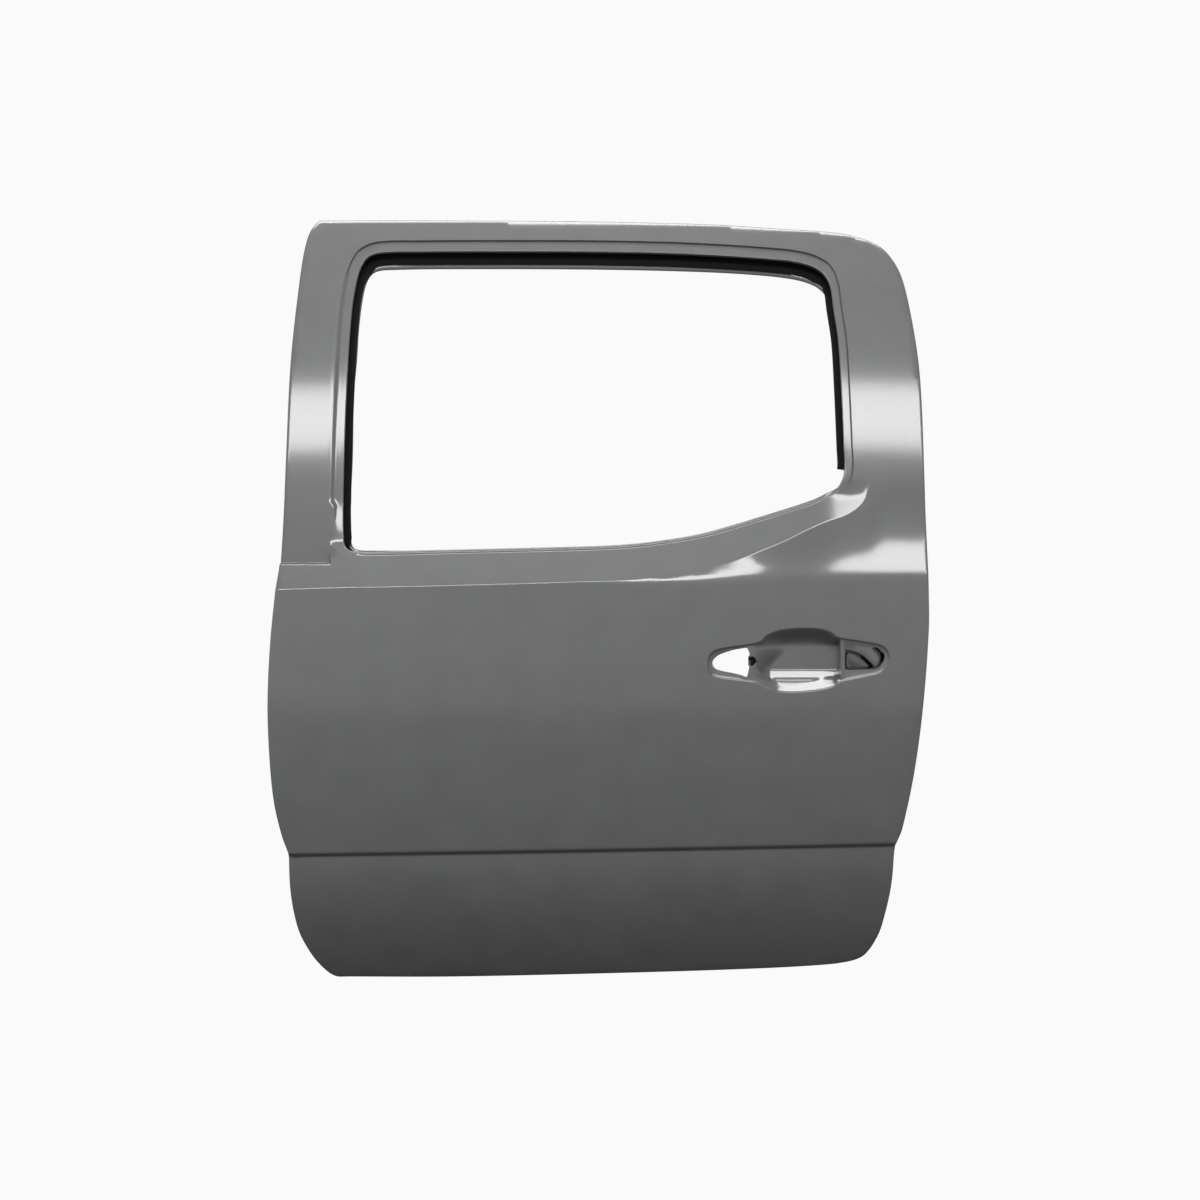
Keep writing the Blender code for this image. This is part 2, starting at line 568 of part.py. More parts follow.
OUTLINE = door_outline()
WINDOW = smooth_loop(in_lengths([row[:2] for row in WINDOW_SHARES]))
MOULDING_WIDTHS = side_widths(WINDOW, {"front": FRONT_MOULDING_WIDTH, "header": HEADER_MOULDING_WIDTH,
                                       "rear": REAR_MOULDING_WIDTH, "sill": SILL_MOULDING_WIDTH})
CREASE = smooth_run(in_lengths(CREASE_SHARES))
MOULDING_EDGE = offset_loop(WINDOW, MOULDING_WIDTHS)
MOULDING_FOOT = offset_loop(WINDOW, [width - MOULDING_RUN for width in MOULDING_WIDTHS])
HANDLE_SEAT = [point + Vector((HANDLE_X, HANDLE_Z))
               for point in in_lengths(HANDLE_SHARES, HANDLE_LENGTH, HANDLE_HEIGHT)]
HANDLE_FLOOR = offset_loop(HANDLE_SEAT, -HANDLE_SEAT_RUN)


def side_depth(x, z):
    """Depth of the barrelled body side behind the door's widest line."""
    return (z - BULGE_HEIGHT) ** 2 / (2 * SIDE_RADIUS) + (x - PLAN_CENTRE) ** 2 / (2 * PLAN_RADIUS)


def lean_depth(x, z):
    """Depth of the surface that the window frame leans along."""
    rise = z - LEAN_HEIGHT
    start = mix(LEAN_FRONT_DEPTH, LEAN_REAR_DEPTH, ease(x / DOOR_WIDTH))
    bow = (x - PLAN_CENTRE) ** 2 / (2 * PLAN_RADIUS)
    return start + bow + rise * slope(LEAN_TILT) + max(rise, 0.0) ** 2 / (2 * LEAN_RADIUS)


def rocker_line(x):
    return mix(ROCKER_FRONT_HEIGHT, ROCKER_REAR_HEIGHT, x / DOOR_WIDTH)


def body_depth(x, z):
    """Depth of the side, shoulder and window frame, without the sill strip and the recesses."""
    along = ramp(x / DOOR_WIDTH, SHOULDER_START_SHARE, SHOULDER_END_SHARE)
    crease = height_on(CREASE, x)
    line = SHOULDER_REAR_HEIGHT if crease is None else min(crease, SHOULDER_REAR_HEIGHT)
    tilt = mix(SHOULDER_FRONT_TILT, SHOULDER_REAR_TILT, along)
    blend = mix(SHOULDER_FRONT_BLEND, SHOULDER_REAR_BLEND, along)
    side = side_depth(x, z)
    shoulder = side_depth(x, line) + (z - line) * slope(tilt)
    frame = lean_depth(x, z)
    depth = soft_max(side, shoulder, blend)
    if z > line:
        depth = soft_min(depth, frame, blend)
    on_pillar = ramp(MOULDING_EDGE[0].x - x, -LEDGE_RUN, 0.0)
    return mix(depth, frame, on_pillar * ramp(z, LEDGE_HEIGHT - LEDGE_RUN, LEDGE_HEIGHT))


def sill_depth(x, z, body):
    """Extra depth of the strip that turns in between the belt crease and the window."""
    crease = height_on(CREASE, x)
    if crease is None or z <= crease:
        return 0.0
    tilt = mix(SHOULDER_FRONT_TILT, SILL_REAR_TILT,
               ramp(x, SILL_TILT_START_SHARE * DOOR_WIDTH, SILL_TILT_END_SHARE * DOOR_WIDTH))
    strip = body_depth(x, crease) + (z - crease) * slope(tilt)
    on_door = ramp(x, SILL_START_X, SILL_FULL_X)
    return max(strip - body, 0.0) * (1.0 - ramp(z, SILL_FADE_LOW, SILL_FADE_HIGH)) * on_door


def pocket_reach(point):
    """How far out in the finger pocket a point lies: 0 at its middle and 1 on its rim."""
    across = abs(point.x - POCKET_X) / POCKET_HALF_WIDTH
    up = abs(point.y - HANDLE_Z) / POCKET_HALF_HEIGHT
    return (across ** POCKET_POWER + up ** POCKET_POWER) ** (1.0 / POCKET_POWER)


def between_loops(point, outer, inner):
    """0 outside OUTER, 1 inside INNER and a straight ramp between them."""
    if not inside(point, outer):
        return 0.0
    if inside(point, inner):
        return 1.0
    near = loop_distance(point, outer)
    far = loop_distance(point, inner)
    return near / (near + far)


def skin_depth(x, z, recesses=True):
    """Depth of the outer panel's visible face at a place in the door's plan."""
    depth = body_depth(x, z)
    depth += sill_depth(x, z, depth)
    drop = rocker_line(x) - z
    depth += ROCKER_STEP * ramp(drop, 0.0, ROCKER_RUN) + max(drop, 0.0) ** 2 / (2 * ROCKER_RADIUS)
    if recesses:
        point = Vector((x, z))
        depth += MOULDING_DEPTH * between_loops(point, MOULDING_EDGE, MOULDING_FOOT)
        if abs(z - HANDLE_Z) < HANDLE_HEIGHT and x > HANDLE_X:
            depth += HANDLE_SEAT_DEPTH * between_loops(point, HANDLE_SEAT, HANDLE_FLOOR)
            floor_share = POCKET_RING_SHARES[-1]
            rim = (pocket_reach(point) - floor_share) / (1.0 - floor_share)
            depth += POCKET_DEPTH * (1.0 - ease(rim))
    return depth


def skin_point(x, z, offset=0.0, recesses=True):
    """A point OFFSET behind the outer panel's visible face, square to it."""
    depth = skin_depth(x, z, recesses)
    across = (skin_depth(x + NORMAL_STEP, z, recesses) - depth) / NORMAL_STEP
    up = (skin_depth(x, z + NORMAL_STEP, recesses) - depth) / NORMAL_STEP
    inward = Vector((-across, 1.0, -up)).normalized()
    return Vector((x, depth, z)) + inward * offset


def inner_depth(x, z):
    """Depth of the inner panel's main plane, which follows the frame above the belt."""
    return soft_max(INNER_PLANE, lean_depth(x, z) + FRAME_DEPTH, PLANE_BLEND)


def hinge_wall_x(depth):
    """X of the front wall's cavity face at a depth."""
    return HINGE_WALL_X - (INNER_PLANE - SEAL_SEAT_DROP - depth) * slope(WALL_DRAFT)


def latch_wall_x(depth):
    return LATCH_WALL_X + (INNER_PLANE - SEAL_SEAT_DROP - depth) * slope(WALL_DRAFT)


def inner_wall_loop():
    """Top line of the inner panel's outer wall, straight where hinges and latch bolt on."""
    straight_front = [Vector((HINGE_WALL_X, share * DOOR_HEIGHT))
                      for share in (WALL_STRAIGHT_LOW_SHARE, HINGE_WALL_HIGH_SHARE)]
    straight_rear = [Vector((LATCH_WALL_X, share * DOOR_HEIGHT))
                     for share in (LATCH_WALL_HIGH_SHARE, LATCH_WALL_LOW_SHARE)]
    lower = smooth_run(in_lengths(INNER_WALL_SHARES) + straight_front[:1])
    upper = smooth_run(straight_front[1:] + in_lengths(INNER_PILLAR_SHARES) + straight_rear[:1])
    rear = smooth_run(straight_rear[1:] + in_lengths(INNER_REAR_SHARES) + lower[:1])
    straights = [[start + (end - start) * (step / 6) for step in range(6)] + [end]
                 for start, end in (straight_front, straight_rear)]
    loop = []
    for run in (lower, straights[0], upper, straights[1], rear):
        loop += thinned(run)[:-1]
    return loop


FLANGE_OFFSET = SKIN_GAUGE + SHEET_GAP
WALL_TOP = inner_wall_loop()
WALL_FOOT = offset_loop(WALL_TOP, [
    (inner_depth(point.x, point.y) - SEAL_SEAT_DROP - skin_depth(point.x, point.y, False) - FLANGE_OFFSET)
    * slope(WALL_DRAFT) for point in WALL_TOP])
SEAT_EDGE = offset_loop(WALL_TOP, -SEAL_SEAT_WIDTH)
PLANE_EDGE = offset_loop(WALL_TOP, -SEAL_SEAT_WIDTH - SEAL_STEP_RUN)
INNER_WINDOW = smooth_loop(in_lengths(INNER_WINDOW_SHARES))
WINDOW_FLANGE = offset_loop(INNER_WINDOW, WINDOW_FLANGE_WIDTH)
WINDOW_WALL = offset_loop(INNER_WINDOW, WINDOW_FLANGE_WIDTH + WINDOW_WALL_RUN)
CHANNEL_FACE = MOULDING_DEPTH + SKIN_GAUGE + SHEET_GAP
CHANNEL_BACK = CHANNEL_FACE + CHANNEL_WIDTH + 2 * CHANNEL_GAUGE


def rocker_lines():
    """Lines across the door at the lower crease and down the curved rocker."""
    ends = (-CUT_OVERRUN, DOOR_WIDTH + CUT_OVERRUN)
    lines = [[Vector((x, rocker_line(x) - drop)) for x in ends] for drop in (0.0, ROCKER_RUN / 2, ROCKER_RUN)]
    heights = [ROCKER_FRONT_HEIGHT * share for share in (0.1, 0.25, 0.4, 0.6, 0.8)]
    return lines + [[Vector((x, height)) for x in ends] for height in heights]


def shoulder_lines():
    """Lines along the soft rear shoulder."""
    ends = (DOOR_WIDTH * SHOULDER_END_SHARE, DOOR_WIDTH + CUT_OVERRUN)
    return [[Vector((x, SHOULDER_REAR_HEIGHT * (1.0 + share))) for x in ends]
            for share in (-0.025, 0.0, 0.025, 0.075, 0.1, 0.125)]


def frame_bend_lines():
    """Lines across the pillars where the inner panel bends from upright to leaning."""
    heights = [FRAME_BEND_LOW + FRAME_BEND_PITCH * step for step in range(FRAME_BEND_LINES)]
    ends = (-CUT_OVERRUN, DOOR_WIDTH + CUT_OVERRUN)
    return [[Vector((x, height)) for x in ends] for height in heights]


def ledge_lines():
    """The two lines of the ledge across the front pillar."""
    ends = (-CUT_OVERRUN, MOULDING_EDGE[0].x - LEDGE_RUN)
    return [[Vector((x, height)) for x in ends] for height in (LEDGE_HEIGHT - LEDGE_RUN, LEDGE_HEIGHT)]


def grid_points(loop, clear_of, spacing=PANEL_GRID):
    """A plain grid of points inside LOOP and clear of the other loops and lines."""
    points = []
    columns = math.ceil(DOOR_WIDTH / spacing)
    rows = math.ceil(DOOR_HEIGHT / spacing)
    margin = spacing * 0.4
    for column in range(1, columns):
        for row in range(1, rows):
            point = Vector((DOOR_WIDTH * column / columns, DOOR_HEIGHT * row / rows))
            if inside(point, loop) and all(loop_distance(point, other) > margin for other in clear_of):
                points.append(point)
    return points


def divided(line, longest=LONGEST_EDGE):
    """A line with points added so that no piece is longer than LONGEST."""
    places = [line[0]]
    for start, end in zip(line, line[1:]):
        pieces = max(1, math.ceil((end - start).length / longest))
        places += [mix(start, end, piece / pieces) for piece in range(1, pieces + 1)]
    return places


def plan_sheet(outline, holes, loops, lines, points, to_space):
    """A sheet over a plan: inside OUTLINE, outside HOLES, with every loop and line kept as its edges."""
    flat, edges = [], []
    for chain, closed in [(outline, True)] + [(loop, True) for loop in holes + loops] + \
            [(divided(line), False) for line in lines]:
        first = len(flat)
        flat += chain
        edges += [(first + index, first + index + 1) for index in range(len(chain) - 1)]
        if closed:
            edges.append((first + len(chain) - 1, first))
    flat += points
    placed, _, faces, _, _, _ = delaunay_2d_cdt(flat, edges, [], 0, PLAN_TOLERANCE)
    sheet = bmesh.new()
    vertices = {}
    for face in faces:
        middle = sum((placed[index] for index in face), Vector((0.0, 0.0))) / len(face)
        if not inside(middle, outline) or any(inside(middle, hole) for hole in holes):
            continue
        for index in face:
            if index not in vertices:
                vertices[index] = sheet.verts.new(to_space(placed[index].x, placed[index].y))
        sheet.faces.new([vertices[index] for index in face])
    plan = {vertices[index]: placed[index] for index in vertices}
    return sheet, plan


def border_loops(sheet):
    """The sheet's free edges as closed chains of vertices, in the direction of its faces."""
    following = {}
    for edge in sheet.edges:
        if edge.is_boundary:
            corner = edge.link_loops[0]
            following[corner.vert] = corner.link_loop_next.vert
    chains = []
    while following:
        vertex = next(iter(following))
        chain = []
        while vertex in following:
            chain.append(vertex)
            vertex = following.pop(vertex)
        chains.append(chain)
    return chains


def fold_border(sheet, chain, places):
    """Adds a strip from a free edge to PLACES, and returns the new edge."""
    folded = [sheet.verts.new(place) for place in places]
    count = len(chain)
    for index in range(count):
        after = (index + 1) % count
        sheet.faces.new((chain[after], chain[index], folded[index], folded[after]))
    return folded


def steel(name, colour, roughness, metallic=0.0):
    material = bpy.data.materials.new(name)
    material.use_nodes = True
    shader = material.node_tree.nodes["Principled BSDF"]
    shader.inputs["Base Color"].default_value = (*colour, 1.0)
    shader.inputs["Roughness"].default_value = roughness
    shader.inputs["Metallic"].default_value = metallic
    return material


def is_sliver(face):
    longest = max(edge.calc_length() for edge in face.edges)
    return 2.0 * face.calc_area() <= SLIVER_HEIGHT * longest


def corner_direction(corners):
    """Outward step from a vertex to the mitred corner of a sheet that lies 1 outside its faces."""
    broad = [corner for corner in corners if not is_sliver(corner.face)]
    pull = Vector((0.0, 0.0, 0.0))
    planes = Matrix.Scale(0.0, 3)
    for corner in broad or corners:
        normal = corner.face.normal
        weight = corner.calc_angle()
        pull += normal * weight
        planes += Matrix([normal * (share * weight) for share in normal])
    steady = STEADY_SHARE * sum(planes[index][index] for index in range(3))
    planes += Matrix.Scale(steady, 3)
    return planes.inverted() @ (pull + pull.normalized() * steady)


def thickened(sheet, gauge):
    """Gives a sheet its gauge on the side away from its face normals, and closes its edges."""
    bmesh.ops.remove_doubles(sheet, verts=sheet.verts, dist=MERGE_DISTANCE)
    sheet.normal_update()
    near = list(sheet.faces)
    border = [(edge.link_loops[0].vert, edge.link_loops[0].link_loop_next.vert)
              for edge in sheet.edges if edge.is_boundary]
    places = [(vertex, vertex.co - corner_direction(vertex.link_loops) * gauge) for vertex in sheet.verts]
    far = {vertex: sheet.verts.new(place) for vertex, place in places}
    for face in near:
        sheet.faces.new([far[vertex] for vertex in reversed(face.verts)])
    for start, end in border:
        sheet.faces.new((end, start, far[start], far[end]))
    return sheet


def add_object(name, work, material):
    """Turns a bmesh into a named object that hangs from the door's empty."""
    mesh = bpy.data.meshes.new(name)
    work.normal_update()
    work.to_mesh(mesh)
    work.free()
    mesh.shade_smooth()
    mesh.set_sharp_from_angle(angle=math.radians(28.0))
    piece = bpy.data.objects.new(name, mesh)
    bpy.context.scene.collection.objects.link(piece)
    piece.parent = bpy.data.objects["door_frame"]
    if material:
        piece.data.materials.append(material)
    return piece


def cut(piece, cutter):
    """Cuts a hidden cutter out of a piece."""
    hole = piece.modifiers.new("cut_" + cutter.name, "BOOLEAN")
    hole.operation = "DIFFERENCE"
    hole.object = cutter


def hide_cutter(cutter):
    cutter.hide_render = True
    cutter.display_type = "WIRE"
    return cutter


def drill(name, centres, radius, depth, sides=16):
    """A hidden cutter of round holes along X."""
    work = bmesh.new()
    for centre in centres:
        turn = Matrix.Translation(centre) @ Matrix.Rotation(math.radians(90.0), 4, "Y")
        bmesh.ops.create_cone(work, cap_ends=True, segments=sides, radius1=radius, radius2=radius,
                              depth=depth, matrix=turn)
    return hide_cutter(add_object(name, work, None))


def slot_cutter(name, centre, size):
    """A hidden block cutter."""
    work = bmesh.new()
    place = Matrix.Translation(centre) @ Matrix.Diagonal((*size, 1.0))
    bmesh.ops.create_cube(work, size=1.0, matrix=place)
    return hide_cutter(add_object(name, work, None))


def swept_channel(name, path, outward, sections, material):
    """Closed sections of (across, deep) points carried along a plan path on the leaning frame surface."""
    work = bmesh.new()
    rings = []
    for point, side, section in zip(path, outward, sections):
        ring = []
        for across, deep in section:
            place = point + side * across
            ring.append(work.verts.new((place.x, lean_depth(place.x, place.y) + deep, place.y)))
        rings.append(ring)
    count = len(rings[0])
    for first, second in zip(rings, rings[1:]):
        for index in range(count):
            after = (index + 1) % count
            work.faces.new((first[index], first[after], second[after], second[index]))
    work.faces.new(rings[0])
    work.faces.new(rings[-1])
    bmesh.ops.recalc_face_normals(work, faces=work.faces)
    return add_object(name, work, material)


def bent_plate(name, low_bend, high_bend, low, high, gauge, material):
    """A plate with upright bends, given as (x, y) corners at its lower and its upper edge."""
    work = bmesh.new()
    lower = [work.verts.new((x, y, low)) for x, y in low_bend]
    upper = [work.verts.new((x, y, high)) for x, y in high_bend]
    for index in range(len(low_bend) - 1):
        work.faces.new((lower[index], lower[index + 1], upper[index + 1], upper[index]))
    return add_object(name, thickened(work, gauge), material)


def patch_plate(name, outline, holes, to_space, gauge, material):
    """A plate over a plan outline."""
    work, _ = plan_sheet(outline, holes, [], [], grid_points(outline, [outline] + holes), to_space)
    return add_object(name, thickened(work, gauge), material)


def run_between(curve, start, end):
    """The stretch of an open curve between two lengths along it."""
    run = []
    passed = 0.0
    for first, second in zip(curve, curve[1:]):
        span = (second - first).length
        if passed + span > start and passed < end:
            if not run:
                run.append(mix(first, second, max(start - passed, 0.0) / span))
            run.append(mix(first, second, min(end - passed, span) / span))
        passed += span
    return run


def length_to(curve, reached, after=0.0):
    """Length along a curve to its first point that passes the test REACHED."""
    passed = 0.0
    for first, second in zip(curve, curve[1:]):
        passed += (second - first).length
        if passed > after and reached(second):
            return passed
    return passed


def lowest_at(loop, x):
    """The lowest height at which LOOP crosses an X."""
    heights = []
    for index, end in enumerate(loop):
        start = loop[index - 1]
        if min(start.x, end.x) <= x < max(start.x, end.x):
            heights.append(mix(start.y, end.y, (x - start.x) / (end.x - start.x)))
    return min(heights)


def rear_wall_x(z, depth):
    """X of the rear wall's cavity face at a height and a depth."""
    crossings = []
    for index, end in enumerate(WALL_TOP):
        start = WALL_TOP[index - 1]
        if min(start.y, end.y) <= z < max(start.y, end.y):
            crossings.append(mix(start.x, end.x, (z - start.y) / (end.y - start.y)))
    return max(crossings) + (INNER_PLANE - SEAL_SEAT_DROP - depth) * slope(WALL_DRAFT)


def handle_holes():
    """Plan loops of the two holes in the handle seat."""
    corner = Vector((HANDLE_X, HANDLE_Z))
    return [smooth_loop([corner + point for point in in_lengths(shares, HANDLE_LENGTH, HANDLE_HEIGHT)])
            for shares in (HANDLE_FRONT_HOLE_SHARES, HANDLE_REAR_HOLE_SHARES)]


def pocket_ring(share):
    """A ring of the finger pocket at a share of its reach."""
    ring = []
    for index in range(POCKET_SIDES):
        angle = 2.0 * math.pi * index / POCKET_SIDES
        across, up = math.cos(angle), math.sin(angle)
        reach = share * (abs(across) ** POCKET_POWER + abs(up) ** POCKET_POWER) ** (-1.0 / POCKET_POWER)
        ring.append(Vector((POCKET_X + across * reach * POCKET_HALF_WIDTH,
                            HANDLE_Z + up * reach * POCKET_HALF_HEIGHT)))
    return ring


def hem_inset(outline):
    """The inner edge of the hem, which stays level with the outline along its upright edges."""
    inset = []
    for point, side in zip(outline, outward_normals(outline)):
        level = Vector((side.x, side.y * ramp(abs(side.y), HEM_LEVEL_SHARE, HEM_TURN_SHARE)))
        inset.append(point - level * HEM_RETURN)
    return inset


def build_outer_panel(paint):
    """The skin: one pressing, hemmed round its edge, with a folded window and a handle recess."""
    loops = [WALL_FOOT, MOULDING_EDGE, MOULDING_FOOT, HANDLE_SEAT, HANDLE_FLOOR]
    loops += [pocket_ring(share) for share in POCKET_RING_SHARES]
    lines = rocker_lines() + shoulder_lines() + ledge_lines() + [thinned(CREASE)]
    points = grid_points(OUTLINE, [OUTLINE, WINDOW] + loops + lines)
    sheet, plan = plan_sheet(OUTLINE, [WINDOW] + handle_holes(), loops, lines, points, skin_point)
    sheet.normal_update()
    for chain in border_loops(sheet):
        flat = [plan[vertex] for vertex in chain]
        middle = sum(flat, Vector((0.0, 0.0))) / len(flat)
        if inside(WINDOW[0], flat):
            drops = [corner_direction(vertex.link_loops) * -HEM_DROP for vertex in chain]
            edge = fold_border(sheet, chain, [vertex.co + drop for vertex, drop in zip(chain, drops)])
            turned = [skin_point(*point) + drop for point, drop in zip(hem_inset(flat), drops)]
            fold_border(sheet, edge, turned)
        elif inside(middle, WINDOW):
            fold_border(sheet, chain, [skin_point(*point) + Vector((0.0, WINDOW_RETURN, 0.0))
                                       for point in flat])
    add_object("outer_panel", thickened(sheet, SKIN_GAUGE), paint)


def rectangle(start, end, low, high):
    """Corners of an upright rectangle of the plan."""
    return [Vector((start, low)), Vector((end, low)), Vector((end, high)), Vector((start, high))]


def upright(x, low_share, high_share):
    """The two ends of an upright line at X."""
    return [Vector((x, low_share * DOOR_HEIGHT)), Vector((x, high_share * DOOR_HEIGHT))]


def middle_rib():
    """Plan loop of the rib between the front and rear openings."""
    front = upright(RIB_X - RIB_WIDTH / 2, RIB_LOW_SHARE, RIB_HIGH_SHARE)
    rear = upright(RIB_X + RIB_WIDTH / 2, RIB_HIGH_SHARE, RIB_LOW_SHARE)
    return rounded_loop(front + rear, RIB_RADIUS)


def nut_places():
    """Places of the weld nuts: four round the openings, then four beside the middle rib."""
    reach = (RIB_WIDTH + NUT_LAND) / 2
    beside = [Vector((RIB_X + side * reach, up * DOOR_HEIGHT)) for side, up in RIB_NUT_SHARES]
    return in_lengths(NUT_SHARES) + beside


def service_holes():
    """Plan loops of the inner panel's openings that have a pressed rim."""
    low, high = SERVICE_LOW_SHARE, SERVICE_HIGH_SHARE
    front = in_lengths(FRONT_SERVICE_SHARES) + upright(RIB_X - SERVICE_REACH, high, low)
    rear = upright(RIB_X + SERVICE_REACH, low, high) + in_lengths(REAR_SERVICE_SHARES)
    holes = [rounded_loop(corners, SERVICE_HOLE_RADIUS)
             for corners in (front, rear, in_lengths(LOWER_SERVICE_SHARES))]
    return holes + [circle_loop(Vector((SPEAKER_CENTRE_X, SPEAKER_CENTRE_Z)), SPEAKER_RADIUS, SPEAKER_SIDES)]


def inner_panel_places(rim_feet, rim_tops, rib, rib_top):
    """The function that puts a plan point on the inner panel's cavity face."""
    def flange(x, z):
        return skin_point(x, z, recesses=False)

    def seal_seat(x, z):
        return Vector((x, inner_depth(x, z) - SEAL_SEAT_DROP, z))

    def window_flange(x, z):
        setback = BELT_SETBACK * (1.0 - ramp(z, BELT_SETBACK_LOW, BELT_SETBACK_HIGH))
        return Vector((x, lean_depth(x, z) + CHANNEL_BACK + SHEET_GAP + setback, z))

    def main_plane(x, z):
        point = Vector((x, z))
        depth = inner_depth(x, z) + RIB_HEIGHT * between_loops(point, rib, rib_top)
        for top, foot in zip(rim_tops, rim_feet):
            depth -= HOLE_RIM_DEPTH * between_loops(point, top, foot)
        return Vector((x, depth, z))

    steps = ((WALL_FOOT, WALL_TOP, flange, seal_seat), (SEAT_EDGE, PLANE_EDGE, seal_seat, main_plane),
             (WINDOW_WALL, WINDOW_FLANGE, main_plane, window_flange))

    def to_space(x, z):
        place = flange(x, z)
        for outer, inner, before, after in steps:
            share = between_loops(Vector((x, z)), outer, inner)
            if share > 0.0:
                place = mix(before(x, z), after(x, z), share)
        return place

    return to_space


def build_inner_panel(paint, cutters):
    """The inner panel: hemmed flange, drafted wall, seal seat, main plane and window flange."""
    rims = service_holes()
    rim_feet = [offset_loop(loop, HOLE_RIM_WIDTH) for loop in rims]
    rim_tops = [offset_loop(loop, HOLE_RIM_WIDTH + HOLE_RIM_RUN) for loop in rims]
    rib = middle_rib()
    rib_top = offset_loop(rib, -RIB_RUN)
    clips = in_lengths(CLIP_HOLE_SHARES)
    small = [circle_loop(centre, CLIP_HOLE_RADIUS, SMALL_HOLE_SIDES) for centre in clips]
    small += [circle_loop(centre, NUT_HOLE_RADIUS, SMALL_HOLE_SIDES) for centre in nut_places()]
    loops = [WALL_FOOT, WALL_TOP, SEAT_EDGE, PLANE_EDGE, WINDOW_FLANGE, WINDOW_WALL, rib, rib_top]
    loops += rim_feet + rim_tops
    holes = [INNER_WINDOW] + rims + small
    crease_start = [CREASE[0], CREASE[CURVE_STEPS]]
    lines = clipped_lines(rocker_lines() + shoulder_lines() + ledge_lines() + [crease_start], WALL_TOP)
    lines += frame_bend_lines()
    points = grid_points(OUTLINE, [OUTLINE] + loops + holes + lines)
    edge = offset_loop(OUTLINE, -SKIN_GAUGE - SHEET_GAP)
    place = inner_panel_places(rim_feet, rim_tops, rib, rib_top)
    sheet, plan = plan_sheet(edge, holes, loops, lines, points, place)
    lift_flange(sheet, plan)
    panel = add_object("inner_panel", thickened(sheet, PANEL_GAUGE), paint)
    for cutter in cutters:
        cut(panel, cutter)


def lift_flange(sheet, plan):
    """Moves the flange from the skin's visible face to just behind the skin."""
    sheet.normal_update()
    flange = [face for face in sheet.faces
              if not inside(sum((plan[vertex] for vertex in face.verts), Vector((0.0, 0.0))) / 3, WALL_FOOT)]
    corners = {}
    for face in flange:
        for corner in face.loops:
            corners.setdefault(corner.vert, []).append(corner)
    lifts = [(vertex, corner_direction(around) * -FLANGE_OFFSET) for vertex, around in corners.items()]
    for vertex, lift in lifts:
        vertex.co += lift


def clipped_lines(lines, inner, samples=240):
    """The stretches of lines outside a loop, each run on to just inside it."""
    kept = []
    for line in lines:
        for start, end in zip(line, line[1:]):
            places = [mix(start, end, index / samples) for index in range(samples + 1)]
            run = []
            for before, place in zip(places[:1] + places, places):
                if not inside(place, inner):
                    run = run or [before]
                    run.append(place)
                elif run:
                    kept.append([run[0], place])
                    run = []
            if run:
                kept.append([run[0], run[-1]])
    return kept


def channel_section(lip, bead):
    """The U section of a run channel as (across, deep), measured outward from the edge of the skin."""
    tip, back = CHANNEL_OUTER_SETBACK, CHANNEL_BACK
    face, deep = CHANNEL_FACE, CHANNEL_REACH
    gauge = CHANNEL_GAUGE
    near = back - gauge
    lip_end = [(-lip, near - bead), (gauge - lip, near - bead)] if bead else [(-lip, near)]
    outside = [(tip, face), (deep, face), (deep, back), (-lip, back)]
    within = [(gauge - lip, near), (deep - gauge, near), (deep - gauge, face + gauge), (tip, face + gauge)]
    return outside + lip_end + within


def build_channels(paint):
    """Front, header and rear glass run channels, which meet at two joints."""
    lips = {"front": FRONT_LIP_WIDTH, "header": HEADER_LIP_WIDTH, "rear": REAR_LIP_WIDTH,
            "sill": REAR_LIP_WIDTH}
    window = smooth_loop_curve(in_lengths([row[:2] for row in WINDOW_SHARES]))
    outward = outward_normals(window)
    front_end = length_to(window, lambda point: point.x > FRONT_JOINT_X)
    rear_start = length_to(window, lambda point: point.x > REAR_JOINT_X)
    rear_end = length_to(window, lambda point: point.y < REAR_CHANNEL_FOOT, rear_start)
    foot = Vector((window[0].x, FRONT_CHANNEL_FOOT))
    runs = (("front_run_channel", [foot] + run_between(window, 0.0, front_end), 0.0),
            ("header_run_channel", run_between(window, front_end + CHANNEL_END_GAP, rear_start), HEADER_BEAD),
            ("rear_run_channel", run_between(window, rear_start + CHANNEL_END_GAP, rear_end), 0.0))
    for name, run, bead in runs:
        path = thinned(run)
        nearest = [min(range(len(window)), key=lambda index: (window[index] - point).length)
                   for point in path]
        sections = [channel_section(lip, bead) for lip in side_widths(path, lips)]
        swept_channel(name, path, [outward[index] for index in nearest], sections, paint)


def hat_steps():
    """Steps of a hat section: (distance from its upper edge, height of the hat)."""
    steps = [(0.0, 0.0)]
    for run, height in ((BELT_FLANGE, 0.0), (BELT_HAT_RUN, BELT_HAT_DEPTH), (BELT_HAT_HEIGHT, BELT_HAT_DEPTH),
                        (BELT_HAT_RUN, 0.0), (BELT_FLANGE, 0.0)):
        steps.append((steps[-1][0] + run, height))
    return steps


def draped_plate(name, columns, top, steps, offset, gauge, material):
    """A plate behind the skin: STEPS list its (drop below TOP, height above OFFSET) at each column."""
    work = bmesh.new()
    rows = [[work.verts.new(skin_point(x, top(x) - drop, offset + height, False)) for drop, height in steps]
            for x in columns]
    for first, second in zip(rows, rows[1:]):
        for index in range(len(first) - 1):
            work.faces.new((first[index], first[index + 1], second[index + 1], second[index]))
    return add_object(name, thickened(work, gauge), material)


